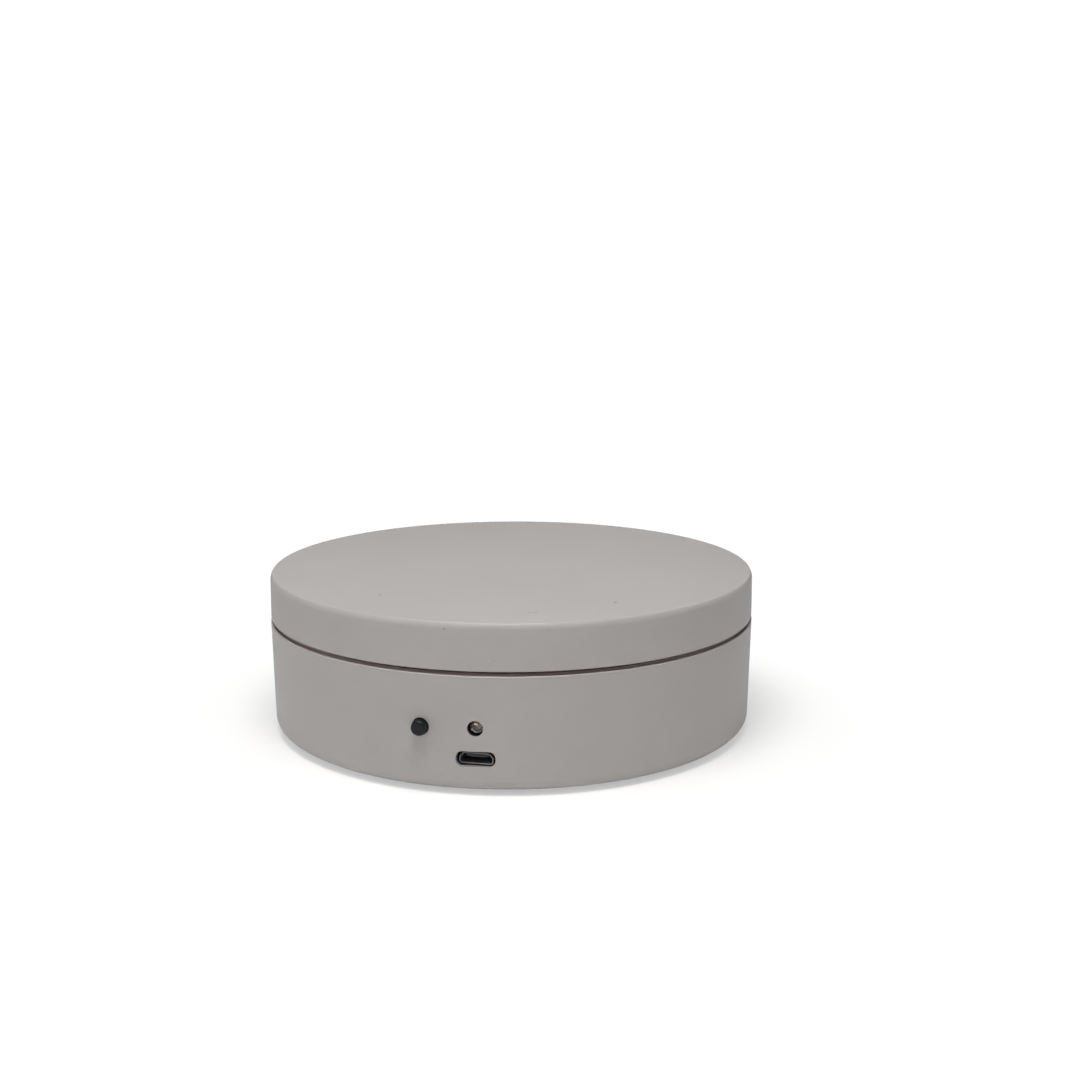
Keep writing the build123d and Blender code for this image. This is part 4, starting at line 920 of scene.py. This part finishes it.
# the floor glows, more with distance from 0.2 m out: painted light that fades it into the backdrop
far = n.remap(n.vec("LENGTH", n.coord, out="Value"), 0.20, 1.10, 0.0, 0.40, smooth=True)
bsdf.inputs["Emission Color"].default_value = (1.0, 1.0, 0.995, 1.0)
n.link(far, bsdf.inputs["Emission Strength"])
b.object("studio_floor", floor_m)

b = Build()
sweep = arc(1300.0, 900.0, 900.0, -90, 0, 24, -1)
lathe(b, sweep + [(((2200.0, 900.0), (-1, 0)), ((2200.0, 3200.0), (-1, 0)))], ring(96), world_z())
sweep_m, t, bsdf = material("studio_backdrop")
n = Nodes(t)
n.link(n.mix(n.noise(2.0, 2.0, 0.5), (1.02, 1.025, 1.03), (1.04, 1.042, 1.045)), bsdf.inputs["Emission Color"])
bsdf.inputs["Emission Strength"].default_value = 1.0
bsdf.inputs["Base Color"].default_value = (0, 0, 0, 1)
bsdf.inputs["Specular IOR Level"].default_value = 0.0
backdrop = b.object("studio_backdrop", sweep_m)
backdrop.visible_diffuse = False
backdrop.visible_glossy = False
backdrop.visible_transmission = False
backdrop.visible_shadow = False

# a painted glow over the floor: an emitting sheet seen by the camera alone, thin at the object's foot and full further
# out, so it lightens the floor's contact shadow
b = Build()
lathe(b, line((1300.0, 0.12), (0.0, 0.12)), ring(96), world_z())
glow_m, t, bsdf = material("studio_glow")
n = Nodes(t)
bsdf.inputs["Base Color"].default_value = (0, 0, 0, 1)
bsdf.inputs["Specular IOR Level"].default_value = 0.0
bsdf.inputs["Emission Color"].default_value = (1.0, 1.0, 1.0, 1.0)
bsdf.inputs["Emission Strength"].default_value = 1.03
away = n.vec("LENGTH", n.coord, out="Value")
n.link(n.math("MAXIMUM", n.remap(away, 0.0605, 0.105, 0.45, 1.0, smooth=True), 0.0), bsdf.inputs["Alpha"])
glow = b.object("studio_glow", glow_m)
glow.visible_diffuse = False
glow.visible_glossy = False
glow.visible_transmission = False
glow.visible_shadow = False

# ------------------------------------------------------------------ light
world = bpy.data.worlds.new("studio")
bpy.context.scene.world = world
world.use_nodes = True
world.node_tree.nodes["Background"].inputs["Color"].default_value = (0.97, 0.985, 1.0, 1.0)
world.node_tree.nodes["Background"].inputs["Strength"].default_value = 0.31


def softbox(name, at, aim, width, height, watts, colour=(1, 1, 1)):
    data = bpy.data.lights.new(name, "AREA")
    data.shape = "RECTANGLE"
    data.size, data.size_y = width, height
    data.energy = watts
    data.color = colour
    o = bpy.data.objects.new(name, data)
    o.location = Vector(at)
    o.rotation_mode = "QUATERNION"
    o.rotation_quaternion = (Vector(aim) - Vector(at)).to_track_quat("-Z", "Y")
    bpy.context.scene.collection.objects.link(o)
    return o


softbox("key_softbox", (0.005, -0.15, 0.42), (-0.005, -0.01, 0.02), 0.22, 0.20, 1.75, (1.0, 0.985, 0.965))
softbox("rim_softbox", (0.0, 0.16, 0.42), (0.0, -0.03, 0.03), 0.10, 0.05, 0.11, (1.0, 0.985, 0.96))
softbox("fill_softbox", (-1.0, -0.8, 0.60), (0.0, 0.0, 0.02), 0.9, 0.7, 1.9, (1.0, 0.99, 0.98))
softbox("side_softbox", (1.08, -0.36, 0.10), (0.0, 0.0, 0.025), 0.5, 0.3, 0.72, (1.0, 0.99, 0.98))

# ------------------------------------------------------------------ camera
cam_data = bpy.data.cameras.new("camera")
cam_data.sensor_fit = "HORIZONTAL"
cam_data.sensor_width = 36.0
cam_data.lens = 51.74
cam_data.clip_start = 0.01
cam_data.clip_end = 20.0
cam_data.dof.use_dof = False
cam = bpy.data.objects.new("camera", cam_data)
turn = math.radians(0.363)
about = lambda x, y, z: Vector((x * math.cos(turn) - y * math.sin(turn), x * math.sin(turn) + y * math.cos(turn), z))
cam.location = about(0.08859, -0.37186, 0.12200)
cam.rotation_mode = "QUATERNION"
cam.rotation_quaternion = about(-0.20953, 0.95793, -0.19612).to_track_quat("-Z", "Y")
bpy.context.scene.collection.objects.link(cam)
bpy.context.scene.camera = cam

bpy.context.scene.view_settings.view_transform = "Standard"
bpy.context.scene.view_settings.look = "None"
bpy.context.scene.view_settings.exposure = 0.0
bpy.context.scene.view_settings.gamma = 1.0
bpy.context.scene.cycles.use_denoising = True
